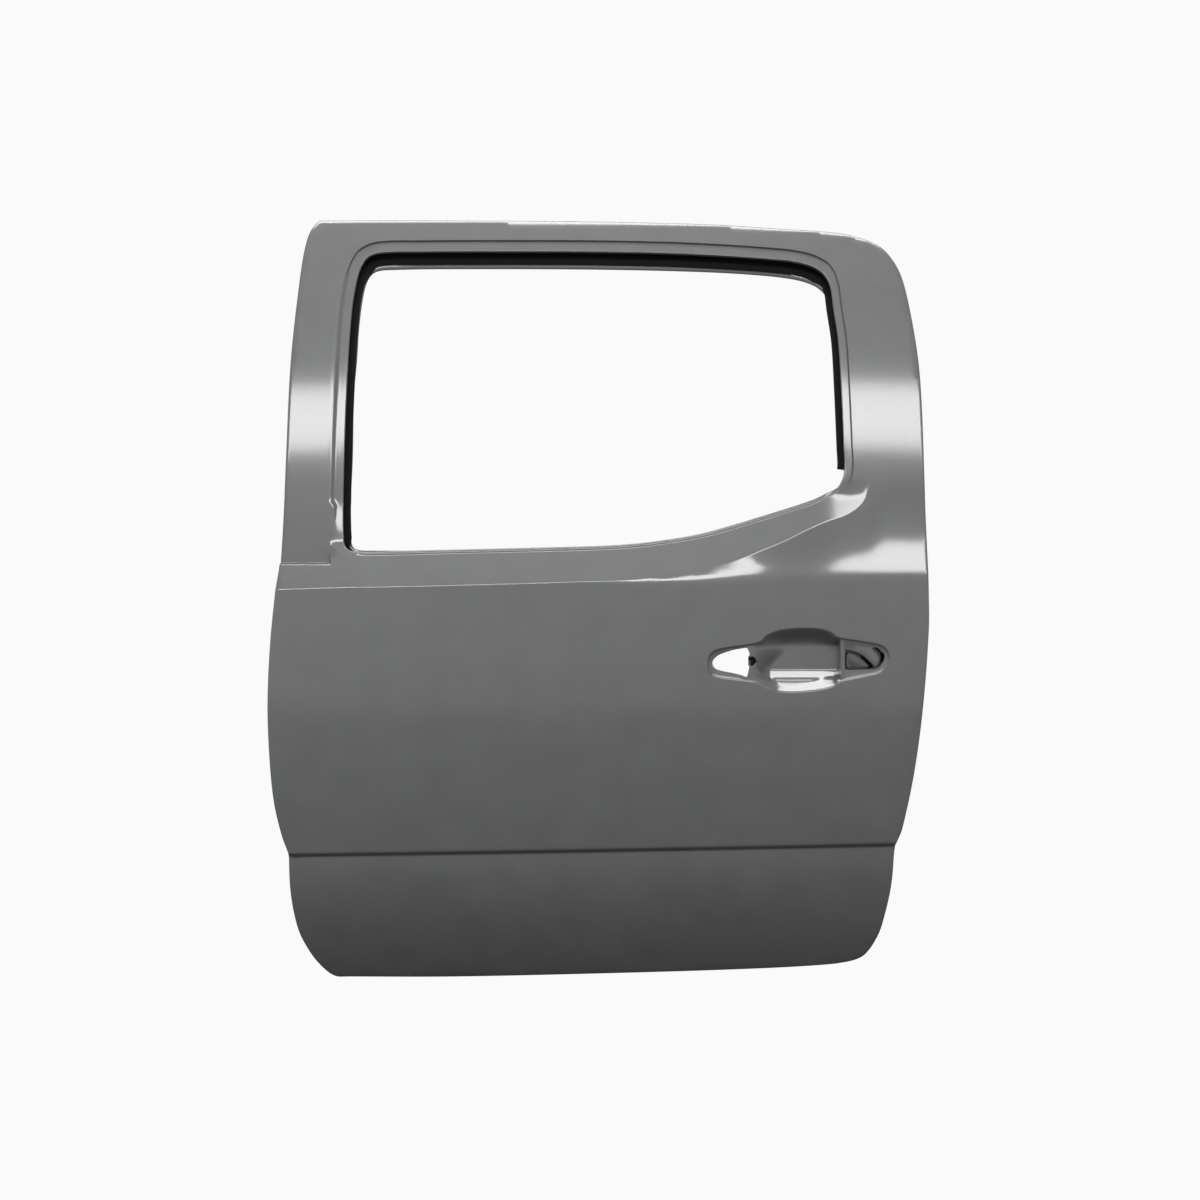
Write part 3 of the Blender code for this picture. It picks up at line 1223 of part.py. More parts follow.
def build_belt_reinforcements(paint):
    """The hat sections that stiffen the belt on both sides of the glass slot."""
    count = round((BELT_REAR_X - BELT_FRONT_X) / BELT_PITCH)
    columns = [mix(BELT_FRONT_X, BELT_REAR_X, index / count) for index in range(count + 1)]
    draped_plate("outer_belt_reinforcement", columns, lambda x: lowest_at(WINDOW, x) - BELT_DROP, hat_steps(),
                 FLANGE_OFFSET, BRACE_GAUGE, paint)

    face = INNER_PLANE - SHEET_GAP
    profile = [(face - height, INNER_BELT_TOP - drop) for drop, height in hat_steps()]
    bent_along_x("inner_belt_reinforcement", profile[::-1], BELT_FRONT_X, INNER_BELT_REAR_X,
                 BRACE_GAUGE, paint)


def bent_along_x(name, profile, start, end, gauge, material):
    """A plate bent along X: PROFILE lists its (y, z) corners."""
    work = bmesh.new()
    first = [work.verts.new((start, y, z)) for y, z in profile]
    second = [work.verts.new((end, y, z)) for y, z in profile]
    for index in range(len(profile) - 1):
        work.faces.new((first[index], first[index + 1], second[index + 1], second[index]))
    return add_object(name, thickened(work, gauge), material)


def build_impact_beam(paint, bracket_paint, pad_paint):
    """The side impact tube, its two end brackets and the mastic pads that tie it to the skin."""
    start = Vector((BEAM_FRONT_X, BEAM_DEPTH, BEAM_FRONT_Z))
    end = Vector((BEAM_REAR_X, BEAM_DEPTH, BEAM_REAR_Z))
    axis = end - start
    work = bmesh.new()
    place = Matrix.Translation((start + end) / 2.0) @ axis.to_track_quat("Z", "Y").to_matrix().to_4x4()
    bmesh.ops.create_cone(work, cap_ends=False, segments=BEAM_SIDES, radius1=BEAM_RADIUS,
                          radius2=BEAM_RADIUS, depth=axis.length, matrix=place)
    add_object("impact_beam", thickened(work, BEAM_WALL), paint)

    seat = BEAM_DEPTH + BEAM_RADIUS + SHEET_GAP
    brace = PLATE_GAUGE + 2 * SHEET_GAP
    low, high = BEAM_FRONT_Z - BEAM_BRACKET_HEIGHT / 2, BEAM_FRONT_Z + BEAM_BRACKET_HEIGHT / 2
    bend = [(hinge_wall_x(BEAM_BRACKET_DEEP) + brace, BEAM_BRACKET_DEEP), (hinge_wall_x(seat) + brace, seat),
            (BEAM_FRONT_X + BEAM_BRACKET_REACH, seat)]
    bent_plate("impact_beam_front_bracket", bend, bend, low, high, PLATE_GAUGE, bracket_paint)
    low, high = BEAM_REAR_Z - BEAM_BRACKET_HEIGHT / 2, BEAM_REAR_Z + BEAM_BRACKET_HEIGHT / 2
    bends = [[(BEAM_REAR_X - BEAM_BRACKET_REACH, seat), (rear_wall_x(z, seat) - SHEET_GAP, seat),
              (rear_wall_x(z, BEAM_BRACKET_DEEP) - SHEET_GAP, BEAM_BRACKET_DEEP)] for z in (low, high)]
    bent_plate("impact_beam_rear_bracket", bends[0], bends[1], low, high, PLATE_GAUGE, bracket_paint)

    for index, share in enumerate(PAD_SHARES):
        centre = mix(start, end, share)
        pad = bmesh.new()
        corners = []
        for across, up in ((-1, -1), (1, -1), (1, 1), (-1, 1)):
            x, z = centre.x + across * PAD_LENGTH / 2, centre.z + up * PAD_HEIGHT / 2
            corners.append((pad.verts.new(skin_point(x, z, FLANGE_OFFSET)),
                            pad.verts.new((x, BEAM_DEPTH - BEAM_RADIUS - SHEET_GAP, z))))
        for side in range(4):
            first, second = corners[side], corners[(side + 1) % 4]
            pad.faces.new((first[0], second[0], second[1], first[1]))
        pad.faces.new([corner[0] for corner in corners])
        pad.faces.new([corner[1] for corner in corners])
        bmesh.ops.recalc_face_normals(pad, faces=pad.faces)
        add_object(f"mastic_pad_{index + 1}", pad, pad_paint)


def wall_plate(name, wall, offset, near, far, middle, length, gauge, material):
    """A plate flat against the front wall's cavity face, OFFSET into the door."""
    bend = [(wall(far) + offset, far), (wall(near) + offset, near)]
    return bent_plate(name, bend, bend, middle - length / 2, middle + length / 2, gauge, material)


def build_hinge_side(paint, plate_paint, hinge_drills, strap_slot):
    """Hinge reinforcement, tapping plates and check strap plate inside the front wall."""
    corner = (hinge_wall_x(HINGE_BRACE_FAR) + SHEET_GAP, HINGE_BRACE_FAR)
    bend = [(corner[0] + BRACE_LIP, corner[1]), corner,
            (hinge_wall_x(HINGE_BRACE_NEAR) + SHEET_GAP, HINGE_BRACE_NEAR)]
    brace = bent_plate("hinge_reinforcement", bend, bend, HINGE_BRACE_LOW, HINGE_BRACE_HIGH,
                       PLATE_GAUGE, paint)
    for cutter in hinge_drills + [strap_slot]:
        cut(brace, cutter)
    behind = PLATE_GAUGE + 2 * SHEET_GAP
    for name, height, cutter in (("upper_hinge_tapping_plate", UPPER_HINGE_Z, hinge_drills[0]),
                                 ("lower_hinge_tapping_plate", LOWER_HINGE_Z, hinge_drills[1])):
        plate = wall_plate(name, hinge_wall_x, behind, HINGE_MID_DEPTH - TAPPING_PLATE_WIDTH / 2,
                           HINGE_MID_DEPTH + TAPPING_PLATE_WIDTH / 2, height, TAPPING_PLATE_LENGTH,
                           TAPPING_PLATE_THICKNESS, plate_paint)
        cut(plate, cutter)
    strap = wall_plate("check_strap_reinforcement", hinge_wall_x, behind,
                       HINGE_MID_DEPTH - STRAP_PLATE_WIDTH / 2, HINGE_MID_DEPTH + STRAP_PLATE_WIDTH / 2,
                       STRAP_Z, STRAP_PLATE_LENGTH, PLATE_GAUGE, plate_paint)
    cut(strap, strap_slot)


def build_latch_side(paint, cutters):
    """Latch reinforcement inside the rear wall."""
    corner = (latch_wall_x(LATCH_BRACE_FAR) - SHEET_GAP, LATCH_BRACE_FAR)
    bend = [(latch_wall_x(LATCH_BRACE_NEAR) - SHEET_GAP, LATCH_BRACE_NEAR), corner,
            (corner[0] - BRACE_LIP, corner[1])]
    brace = bent_plate("latch_reinforcement", bend, bend, LATCH_Z - LATCH_BRACE_LENGTH / 2,
                       LATCH_Z + LATCH_BRACE_LENGTH / 2, PLATE_GAUGE, paint)
    for cutter in cutters:
        cut(brace, cutter)


def build_handle_side(paint, bracket_paint):
    """The plate behind the handle seat and the bracket that carries the lock cylinder."""
    margin = HANDLE_BRACE_MARGIN
    low, high = HANDLE_Z - HANDLE_HEIGHT / 2 - margin, HANDLE_Z + HANDLE_HEIGHT / 2 + margin
    start, end = HANDLE_X - margin, HANDLE_X + HANDLE_LENGTH + margin
    outline = rounded_loop(rectangle(start, end, low, high), margin)
    hole = offset_loop(HANDLE_SEAT, HANDLE_BRACE_CLEARANCE)
    patch_plate("handle_reinforcement", outline, [hole],
                lambda x, z: skin_point(x, z, FLANGE_OFFSET, False), BRACE_GAUGE, paint)

    half = LOCK_BRACKET_LENGTH / 2
    columns = [LOCK_BRACKET_X - half, LOCK_BRACKET_X, LOCK_BRACKET_X + half]
    steps = [(0.0, 0.0)]
    for run, height in ((LOCK_BRACKET_FOOT, 0.0), (LOCK_BRACKET_RUN, LOCK_BRACKET_DEPTH),
                        (LOCK_BRACKET_HEIGHT - 2 * LOCK_BRACKET_RUN, LOCK_BRACKET_DEPTH),
                        (LOCK_BRACKET_RUN, 0.0), (LOCK_BRACKET_FOOT, 0.0)):
        steps.append((steps[-1][0] + run, height))
    top = HANDLE_Z + LOCK_BRACKET_HEIGHT / 2 + LOCK_BRACKET_FOOT
    seat = FLANGE_OFFSET + BRACE_GAUGE + SHEET_GAP
    bracket = draped_plate("lock_cylinder_bracket", columns, lambda x: top, steps, seat, BRACE_GAUGE,
                           bracket_paint)
    depth = skin_depth(LOCK_HOLE_X, HANDLE_Z, False) + seat + LOCK_BRACKET_DEPTH
    work = bmesh.new()
    turn = Matrix.Translation((LOCK_HOLE_X, depth, HANDLE_Z)) @ Matrix.Rotation(math.radians(90.0), 4, "X")
    bmesh.ops.create_cone(work, cap_ends=True, segments=24, radius1=LOCK_HOLE_RADIUS,
                          radius2=LOCK_HOLE_RADIUS, depth=CUT_OVERRUN, matrix=turn)
    cut(bracket, hide_cutter(add_object("lock_hole_cutter", work, None)))


def build_frame_reinforcements(paint):
    """Plates inside the inner panel: one up each pillar and one round each upper corner of the frame."""
    def behind_panel(x, z):
        return Vector((x, inner_depth(x, z) - SHEET_GAP - BRACE_GAUGE, z))

    for name, start, width, high in (
            ("front_pillar_reinforcement", FRONT_PLATE_X, FRONT_PLATE_WIDTH, FRONT_PLATE_HIGH),
            ("rear_pillar_reinforcement", REAR_PLATE_X, REAR_PLATE_WIDTH, REAR_PLATE_HIGH)):
        radius = min(PILLAR_PLATE_RADIUS, PLATE_CORNER_SHARE * width)
        outline = rounded_loop(rectangle(start, start + width, PILLAR_PLATE_LOW, high), radius)
        work, _ = plan_sheet(outline, [], [], frame_bend_lines(), [], behind_panel)
        add_object(name, thickened(work, BRACE_GAUGE), paint)

    near = WINDOW_FLANGE_WIDTH + WINDOW_WALL_RUN + GUSSET_CLEARANCE
    inner_line = offset_loop(INNER_WINDOW, near)
    outer_line = offset_loop(INNER_WINDOW, near + GUSSET_WIDTH)
    for name, on_side in (("front_corner_gusset", lambda point: point.x < GUSSET_FRONT_REACH),
                          ("rear_corner_gusset", lambda point: point.x > GUSSET_REAR_REACH)):
        picked = [index for index, point in enumerate(inner_line) if on_side(point) and point.y > GUSSET_LOW]
        outline = [inner_line[index] for index in picked] + [outer_line[index] for index in reversed(picked)]
        work, _ = plan_sheet(outline, [], [], [], [], behind_panel)
        add_object(name, thickened(work, BRACE_GAUGE), paint)


def build_weld_nuts(paint):
    """Hexagon weld nuts on the cavity face of the inner panel, over its regulator holes."""
    for index, centre in enumerate(nut_places()):
        work = bmesh.new()
        depth = INNER_PLANE - SHEET_GAP - NUT_HEIGHT / 2
        turn = Matrix.Translation((centre.x, depth, centre.y)) @ Matrix.Rotation(math.radians(90.0), 4, "X")
        bmesh.ops.create_cone(work, cap_ends=False, segments=6, radius1=NUT_RADIUS, radius2=NUT_RADIUS,
                              depth=NUT_HEIGHT, matrix=turn)
        add_object(f"weld_nut_{index + 1}", thickened(work, NUT_WALL), paint)


def build_cutters():
    """Hidden cutters for the hinge bolts, check strap, harness, latch mouth and latch bolts."""
    hinge_drills = []
    for name, height in (("upper_hinge_drill", UPPER_HINGE_Z), ("lower_hinge_drill", LOWER_HINGE_Z)):
        centres = [(hinge_wall_x(HINGE_MID_DEPTH), HINGE_MID_DEPTH, height + side * HINGE_BOLT_PITCH / 2)
                   for side in (-1, 1)]
        hinge_drills.append(drill(name, centres, HINGE_BOLT_RADIUS, WALL_CUT_LENGTH))
    strap_slot = slot_cutter("strap_slot_cutter", (hinge_wall_x(HINGE_MID_DEPTH), HINGE_MID_DEPTH, STRAP_Z),
                             (WALL_CUT_LENGTH, STRAP_SLOT_WIDTH, STRAP_SLOT_LENGTH))
    harness = drill("harness_hole_cutter", [(HINGE_WALL_X, HARNESS_DEPTH, HARNESS_Z)], HARNESS_RADIUS,
                    WALL_CUT_LENGTH, 24)
    latch_x = latch_wall_x(LATCH_DEPTH)
    latch_slot = slot_cutter("latch_mouth_cutter", (latch_x, LATCH_DEPTH, LATCH_Z),
                             (WALL_CUT_LENGTH, LATCH_SLOT_WIDTH, LATCH_SLOT_LENGTH))
    bolt_rise = LATCH_SLOT_LENGTH / 2 + LATCH_BOLT_MARGIN
    latch_drill = drill("latch_bolt_cutter", [(latch_x, LATCH_DEPTH, LATCH_Z - bolt_rise),
                                              (latch_x, LATCH_DEPTH, LATCH_Z + bolt_rise)],
                        LATCH_BOLT_RADIUS, WALL_CUT_LENGTH)
    return hinge_drills, strap_slot, harness, [latch_slot, latch_drill]


def main():
    """Clears the scene and builds every piece of the door."""
    for leftover in list(bpy.data.objects):
        bpy.data.objects.remove(leftover, do_unlink=True)
    door = bpy.data.objects.new("door_frame", None)
    bpy.context.scene.collection.objects.link(door)
    draft = math.radians(WALL_DRAFT)
    door.location = (PANEL_GAUGE * math.cos(draft) - hinge_wall_x(HINGE_MID_DEPTH),
                     -HINGE_MID_DEPTH - PANEL_GAUGE * math.sin(draft), -UPPER_HINGE_Z)

    primer = steel("grey_primer", (0.13, 0.135, 0.14), 0.34)
    inner_primer = steel("inner_grey_primer", (0.12, 0.125, 0.13), 0.40)
    brace_primer = steel("brace_grey_primer", (0.10, 0.10, 0.105), 0.45)
    bare_steel = steel("bare_steel", (0.45, 0.45, 0.46), 0.38, 1.0)
    mastic = steel("mastic", (0.05, 0.05, 0.05), 0.85)

    hinge_drills, strap_slot, harness_hole, latch_cutters = build_cutters()
    build_outer_panel(primer)
    build_inner_panel(inner_primer, hinge_drills + [strap_slot, harness_hole] + latch_cutters)
    build_channels(inner_primer)
    build_belt_reinforcements(brace_primer)
    build_impact_beam(brace_primer, brace_primer, mastic)
    build_hinge_side(brace_primer, bare_steel, hinge_drills, strap_slot)
    build_latch_side(brace_primer, latch_cutters)
    build_handle_side(brace_primer, brace_primer)
    build_frame_reinforcements(brace_primer)
    build_weld_nuts(bare_steel)


main()
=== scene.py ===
"""Looks of a rear side door shell of a crew-cab pickup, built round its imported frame.

Shapes are worked out in the door's own plan, X from the hinge edge and Z from the bottom edge, with Y as
the depth behind the widest line of the outer face. They are then moved so that the origin lies on the
upper hinge pad, as it does in the frame.
"""
import math

import bmesh
import bpy
import numpy as np
from bpy.props import FloatProperty, FloatVectorProperty, PointerProperty
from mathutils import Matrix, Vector
from mathutils.geometry import delaunay_2d_cdt


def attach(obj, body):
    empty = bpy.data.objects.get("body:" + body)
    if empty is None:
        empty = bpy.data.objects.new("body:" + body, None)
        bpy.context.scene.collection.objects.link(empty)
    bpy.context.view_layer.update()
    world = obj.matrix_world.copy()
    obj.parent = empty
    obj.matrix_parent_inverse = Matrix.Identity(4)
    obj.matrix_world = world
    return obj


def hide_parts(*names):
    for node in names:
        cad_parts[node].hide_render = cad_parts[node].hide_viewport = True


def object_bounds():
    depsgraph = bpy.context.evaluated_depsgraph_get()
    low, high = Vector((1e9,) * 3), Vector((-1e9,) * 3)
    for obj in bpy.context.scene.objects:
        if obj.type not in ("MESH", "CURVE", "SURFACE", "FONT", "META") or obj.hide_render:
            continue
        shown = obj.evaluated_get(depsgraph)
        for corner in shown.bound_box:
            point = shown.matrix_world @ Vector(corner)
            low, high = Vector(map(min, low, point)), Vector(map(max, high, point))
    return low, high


bl_info = {
    "name": "Car Door Shell",
    "version": (1, 0, 0),
    "blender": (4, 5, 0),
    "location": "View3D > Sidebar > Door Shell",
    "description": "Builds the visible surfaces, finishes and studio of a pressed steel door shell",
    "category": "Object",
}

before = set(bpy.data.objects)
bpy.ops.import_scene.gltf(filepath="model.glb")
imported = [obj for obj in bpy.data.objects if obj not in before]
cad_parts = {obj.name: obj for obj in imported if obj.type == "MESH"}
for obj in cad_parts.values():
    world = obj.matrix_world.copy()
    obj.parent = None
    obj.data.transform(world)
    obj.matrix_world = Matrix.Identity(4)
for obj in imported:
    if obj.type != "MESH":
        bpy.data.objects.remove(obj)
CAD_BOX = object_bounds()

# Overall size and the place of the door's plan in the frame
DOOR_WIDTH = 0.967
DOOR_HEIGHT = 1.148
SKIN_GAUGE = 0.0008
PANEL_GAUGE = 0.0010
SHEET_GAP = 0.0003
WALL_DRAFT = 3.0
HINGE_WALL_X = 0.056
LATCH_WALL_X = 0.937
HINGE_MID_DEPTH = 0.052
UPPER_HINGE_Z = 0.520
INNER_PLANE = 0.112
SLOPE_STEP = 0.0004
SEAL_SEAT_DROP = 0.018

# Outer surface
BULGE_HEIGHT = 0.405
SIDE_RADIUS = 2.6
PLAN_RADIUS = 12.0
PLAN_CENTRE = 0.52
SHOULDER_REAR_HEIGHT = 0.588
SHOULDER_FRONT_TILT = 27.0
SHOULDER_REAR_TILT = 17.5
SHOULDER_FRONT_BLEND = 0.0008
SHOULDER_REAR_BLEND = 0.004
SHOULDER_START_SHARE = 0.52
SHOULDER_END_SHARE = 0.78
LEAN_HEIGHT = 0.621
LEAN_TILT = 10.0
LEAN_RADIUS = 2.5
LEAN_FRONT_DEPTH = 0.036
LEAN_REAR_DEPTH = 0.0205
SHOULDER_DIPS = ((0.620, 0.0), (0.7675, 0.0064), (0.870, 0.0009), (0.9105, -0.0016))
SHOULDER_DIP_HEIGHTS = (0.690, 0.740)
LEDGE_HEIGHT = 0.6177
LEDGE_RUN = 0.004
ROCKER_FRONT_HEIGHT = 0.190
ROCKER_REAR_HEIGHT = 0.2075
ROCKER_STEP = 0.007
ROCKER_RUN = 0.006
ROCKER_RADIUS = 0.37
ROCKER_OUTWARD = 0.115
SILL_REAR_TILT = 18.0
SILL_TILT_START_SHARE = 0.70
SILL_TILT_END_SHARE = 0.83
SILL_TURN_HELD = 0.22
SILL_TURN_BLEND = 0.03
SILL_LAST_TURN = (0.764, 0.843)
SILL_START_X = 0.112
SILL_FULL_X = 0.160
SILL_FADE_LOW = 0.715
SILL_FADE_HIGH = 0.740
MOULDING_SIDES = {"front": 0.021, "header": 0.018, "rear": 0.013, "sill": 0.0065}
MOULDING_DEPTH = 0.0045
MOULDING_FADE = (0.640, 0.715)
MOULDING_FADE_END_X = (0.125, 0.150)
MOULDING_RUNS = {"front": 0.0105, "header": 0.0020, "rear": 0.0022, "sill": 0.0022}
WINDOW_RETURN = 0.006

# Glass run channels and hem
CHANNEL_WIDTH = 0.016
CHANNEL_REACH = 0.011
CHANNEL_SIDES = {"front": 0.010, "header": 0.018, "rear": 0.009, "sill": 0.009}
CHANNEL_OUTER_SETBACK = 0.002
CHANNEL_END_GAP = 0.0006
HEADER_BEAD = 0.003
FRONT_JOINT_X = 0.170
REAR_JOINT_X = 0.782
FRONT_CHANNEL_FOOT = 0.600
REAR_CHANNEL_FOOT = 0.756
HEM_DROP = 2 * SKIN_GAUGE + PANEL_GAUGE + 2 * SHEET_GAP
HEM_RETURN = 0.010
SEALER_SETBACK = 0.0012
SEALER_WIDTH = 0.0042
SEALER_HEIGHT = 0.0009
SEALER_SINK = 0.0009
SEALER_RISE = 0.0004
SEALER_SIDES = 7

# Inner panel
FRAME_DEPTH = 0.045
PLANE_BLEND = 0.030
SEAL_SEAT_WIDTH = 0.014
SEAL_STEP_RUN = 0.003
WINDOW_FLANGE_WIDTH = 0.011
WINDOW_WALL_RUN = 0.004
BELT_SETBACK = 0.022
BELT_SETBACK_LOW = 0.645
BELT_SETBACK_HIGH = 0.720
HOLE_RIM_WIDTH = 0.012
HOLE_RIM_RUN = 0.004
HOLE_RIM_DEPTH = 0.004
RIB_X = 0.4516
RIB_WIDTH = 0.0387
RIB_HEIGHT = 0.006
NUT_LAND = 0.015
SERVICE_REACH = RIB_WIDTH / 2 + NUT_LAND + HOLE_RIM_WIDTH + HOLE_RIM_RUN
RIB_RUN = 0.005
RIB_RADIUS = 0.017
SERVICE_HOLE_RADIUS = 0.030
SPEAKER_RADIUS = 0.078
SPEAKER_CENTRE = (0.275, 0.205)
CLIP_HOLE_RADIUS = 0.0045
NUT_HOLE_RADIUS = 0.0038
HINGE_BOLT_PITCH = 0.036
HINGE_BOLT_RADIUS = 0.0052
LOWER_HINGE_Z = 0.270
STRAP_Z = 0.420
STRAP_SLOT = (0.012, 0.030)
HARNESS_Z = 0.625
HARNESS_DEPTH = 0.068
HARNESS_RADIUS = 0.014
LATCH_Z = 0.500
LATCH_DEPTH = 0.058
LATCH_SLOT = (0.026, 0.060)
LATCH_BOLT_RADIUS = 0.0035
LATCH_BOLT_RISE = 0.046

# Handle recess
HANDLE_X = 0.6425
HANDLE_Z = 0.4736
HANDLE_LENGTH = 0.2664
HANDLE_HEIGHT = 0.0946
HANDLE_SEAT_DEPTH = 0.0025
HANDLE_SEAT_RUN = 0.0025
POCKET_DEPTH = 0.024
POCKET_SIDES = (0.7060, 0.7640, 0.8352, 0.8372)
POCKET_UPPER_FOOT = 0.4937
POCKET_SILL = ((0.4274, 0.0), (0.4421, 0.42), (0.4458, 0.46), (0.4592, 0.85), (0.4937, 1.0))
POCKET_SILL_FULL_X = 0.7370
POCKET_SILL_SLOPE = 0.85
POCKET_GRID = 0.0021
POCKET_EDGE = 0.0010
POCKET_LOW_CLEAR = 0.012
POCKET_HIGH_CLEAR = 0.006

# Mesh lines, as shares of the step that they follow or, for the last three, in metres
MOULDING_LINES = (-0.4, 0.0, 0.25, 0.5, 0.75, 1.0, 1.3)
SEAT_LINES = (-0.4, 0.0, 0.33, 0.67, 1.0)
ROCKER_LINES = (-0.5, 0.0, 0.17, 0.34, 0.5, 0.66, 0.83, 1.0, 1.5)
LEDGE_LINES = (-0.3, 0.0, 0.2, 0.4, 0.6, 0.8, 1.0, 1.3)
PRESSED_LINES = (0.0, 0.25, 0.5, 0.75, 1.0)
CREASE_LINES = (-0.0015, 0.0, 0.0015)
SHOULDER_LINES = (-0.012, -0.006, 0.006, 0.012)
LINE_PAST = 0.01

# Spacing of points along edges, in metres, then how near counts as on or clear of a line, and batch sizes
OUTLINE_SPACING = 0.006
WINDOW_SPACING = 0.005
SEAT_SPACING = 0.003
HOLE_SPACING = 0.001
NOSE_SPACING = 0.002
LINE_SPACING = 0.008
LEDGE_SPACING = 0.004
ON_LINE = 2e-6
CLEAR_SHARE = 0.45
POINTS_AT_ONCE = 4096
ARMS_AT_ONCE = 2048

# Angles in degrees over which an edge stays sharp, and the widths of rounded edges
SKIN_SHARP = 40.0
PRESSING_SHARP = 38.0
CHANNEL_SHARP = 30.0
SEALER_SHARP = 50.0
NOSE_SHARP = 40.0
BRACE_SHARP = 28.0
BEVEL_SHARP = 35.0
MASTIC_BEVEL = 0.0015
STEEL_BEVEL = 0.0006
BRACE_BEVEL = 0.0005

# Paint and studio
PAINT_IOR = 1.5
PEEL_HEIGHT = 0.0002
WRINKLE_HEIGHT = 0.0006
WHITE = (1.0, 1.0, 1.0, 1.0)
SENSOR_WIDTH = 36.0
FLOOR_REACH = 14.0
FLOOR_FADE = (1.0, 5.0)
LIGHT_AIM = (0.52, 0.085, 0.83)
ROOM_LEVELS = ((0.0, 0.93), (0.13, 0.97), (0.36, 0.48), (0.72, 0.42), (0.90, 0.5))

# Outline of the door as shares of its width and height
FRONT_LOWER_SHARES = (
    (0.117, 0.0), (0.094, 0.001), (0.0725, 0.017), (0.0555, 0.039), (0.042, 0.066), (0.0325, 0.113),
    (0.03, 0.1665))
FRONT_UPPER_SHARES = (
    (0.03, 0.1665), (0.02, 0.1905), (0.0085, 0.235), (0.002, 0.299), (0.0, 0.362), (0.004, 0.438),
    (0.011, 0.502), (0.0145, 0.535), (0.017, 0.594), (0.018, 0.678), (0.0195, 0.806), (0.0275, 0.916),
    (0.0317, 0.952), (0.037, 0.976), (0.044, 0.99), (0.0542, 1.0))
TOP_REAR_SHARES = (
    (0.0542, 1.0), (0.185, 0.9995), (0.3278, 0.998), (0.5026, 0.9958), (0.6833, 0.991), (0.7876, 0.985),
    (0.871, 0.98), (0.909, 0.9737), (0.9436, 0.961), (0.9652, 0.94), (0.978, 0.9146), (0.988, 0.87),
    (0.997, 0.805), (0.9995, 0.7487), (0.9995, 0.6356), (1.0, 0.553), (1.0, 0.502), (0.9996, 0.451),
    (0.99, 0.3497), (0.977, 0.268), (0.9595, 0.197), (0.9514, 0.18))
REAR_LOWER_SHARES = (
    (0.9514, 0.18), (0.949, 0.17), (0.9447, 0.1244), (0.9355, 0.0825), (0.927, 0.057), (0.909, 0.0311),
    (0.8895, 0.0222), (0.8455, 0.0165), (0.7247, 0.011), (0.512, 0.0053), (0.271, 0.0004), (0.117, 0.0))
WINDOW_SIDES = {
    "front": (
        (0.1105, 0.568), (0.1078, 0.6768), (0.1094, 0.8144), (0.1123, 0.8746), (0.117, 0.9094)),
    "header": (
        (0.1238, 0.9332), (0.1342, 0.9473), (0.1545, 0.9536), (0.2178, 0.9546), (0.3445, 0.9543),
        (0.5026, 0.9529), (0.6478, 0.9492), (0.7926, 0.9405), (0.8301, 0.9341), (0.8517, 0.9236)),
    "rear": (
        (0.8635, 0.9068), (0.8683, 0.8727), (0.8739, 0.8288), (0.876, 0.76), (0.8772, 0.686), (0.8777, 0.6632),
        (0.8741, 0.6463)),
    "sill": (
        (0.8661, 0.6345), (0.8476, 0.6267), (0.8261, 0.6183), (0.7816, 0.606), (0.7189, 0.5898),
        (0.6563, 0.575), (0.5939, 0.566), (0.533, 0.5605), (0.4417, 0.5577), (0.2292, 0.5535), (0.1372, 0.5519),
        (0.118, 0.5545)),
}
WINDOW_SHARES = [(*point, side) for side, points in WINDOW_SIDES.items() for point in points]
CREASE_SHARES = (
    (-0.02, 0.501), (0.1, 0.5043), (0.25, 0.507), (0.45, 0.5116), (0.533, 0.5146), (0.594, 0.5197),
    (0.64, 0.526), (0.687, 0.535), (0.718, 0.5428), (0.749, 0.553), (0.78, 0.5633), (0.811, 0.5764),
    (0.843, 0.5882), (0.874, 0.5968), (0.892, 0.6058), (0.906, 0.6187), (0.9115, 0.6343))
INNER_WINDOW_SHARES = (
    (0.1175, 0.564), (0.119, 0.6771), (0.118, 0.76), (0.121, 0.8072), (0.1225, 0.8511), (0.1265, 0.89),
    (0.1325, 0.9152), (0.144, 0.9285), (0.1722, 0.932), (0.2993, 0.9325), (0.5026, 0.9308), (0.6485, 0.9275),
    (0.7434, 0.923), (0.8082, 0.9165), (0.842, 0.907), (0.86, 0.892), (0.873, 0.87), (0.88, 0.8335),
    (0.8825, 0.7357), (0.883, 0.6632), (0.8825, 0.58), (0.879, 0.562), (0.866, 0.555), (0.845, 0.5535),
    (0.5, 0.5535), (0.145, 0.5535), (0.124, 0.5555))
INNER_WALL_SHARES = ((0.1250, 0.0330), (0.0900, 0.0480), (0.0690, 0.0870), (0.0600, 0.1300))
INNER_PILLAR_SHARES = (
    (0.054, 0.6), (0.048, 0.69), (0.049, 0.81), (0.054, 0.897), (0.062, 0.95), (0.08, 0.974), (0.186, 0.979),
    (0.5026, 0.9758), (0.6826, 0.9705), (0.827, 0.962), (0.889, 0.953), (0.9255, 0.935), (0.946, 0.909),
    (0.96, 0.87), (0.967, 0.81))
INNER_REAR_SHARES = (
    (0.957, 0.32), (0.948, 0.27), (0.93, 0.196), (0.917, 0.122), (0.906, 0.08), (0.886, 0.056), (0.848, 0.045),
    (0.724, 0.04), (0.507, 0.035), (0.269, 0.031))
WALL_STRAIGHT_LOW_SHARE = 0.170
HINGE_WALL_HIGH_SHARE = 0.560
LATCH_WALL_HIGH_SHARE = 0.740
LATCH_WALL_LOW_SHARE = 0.360
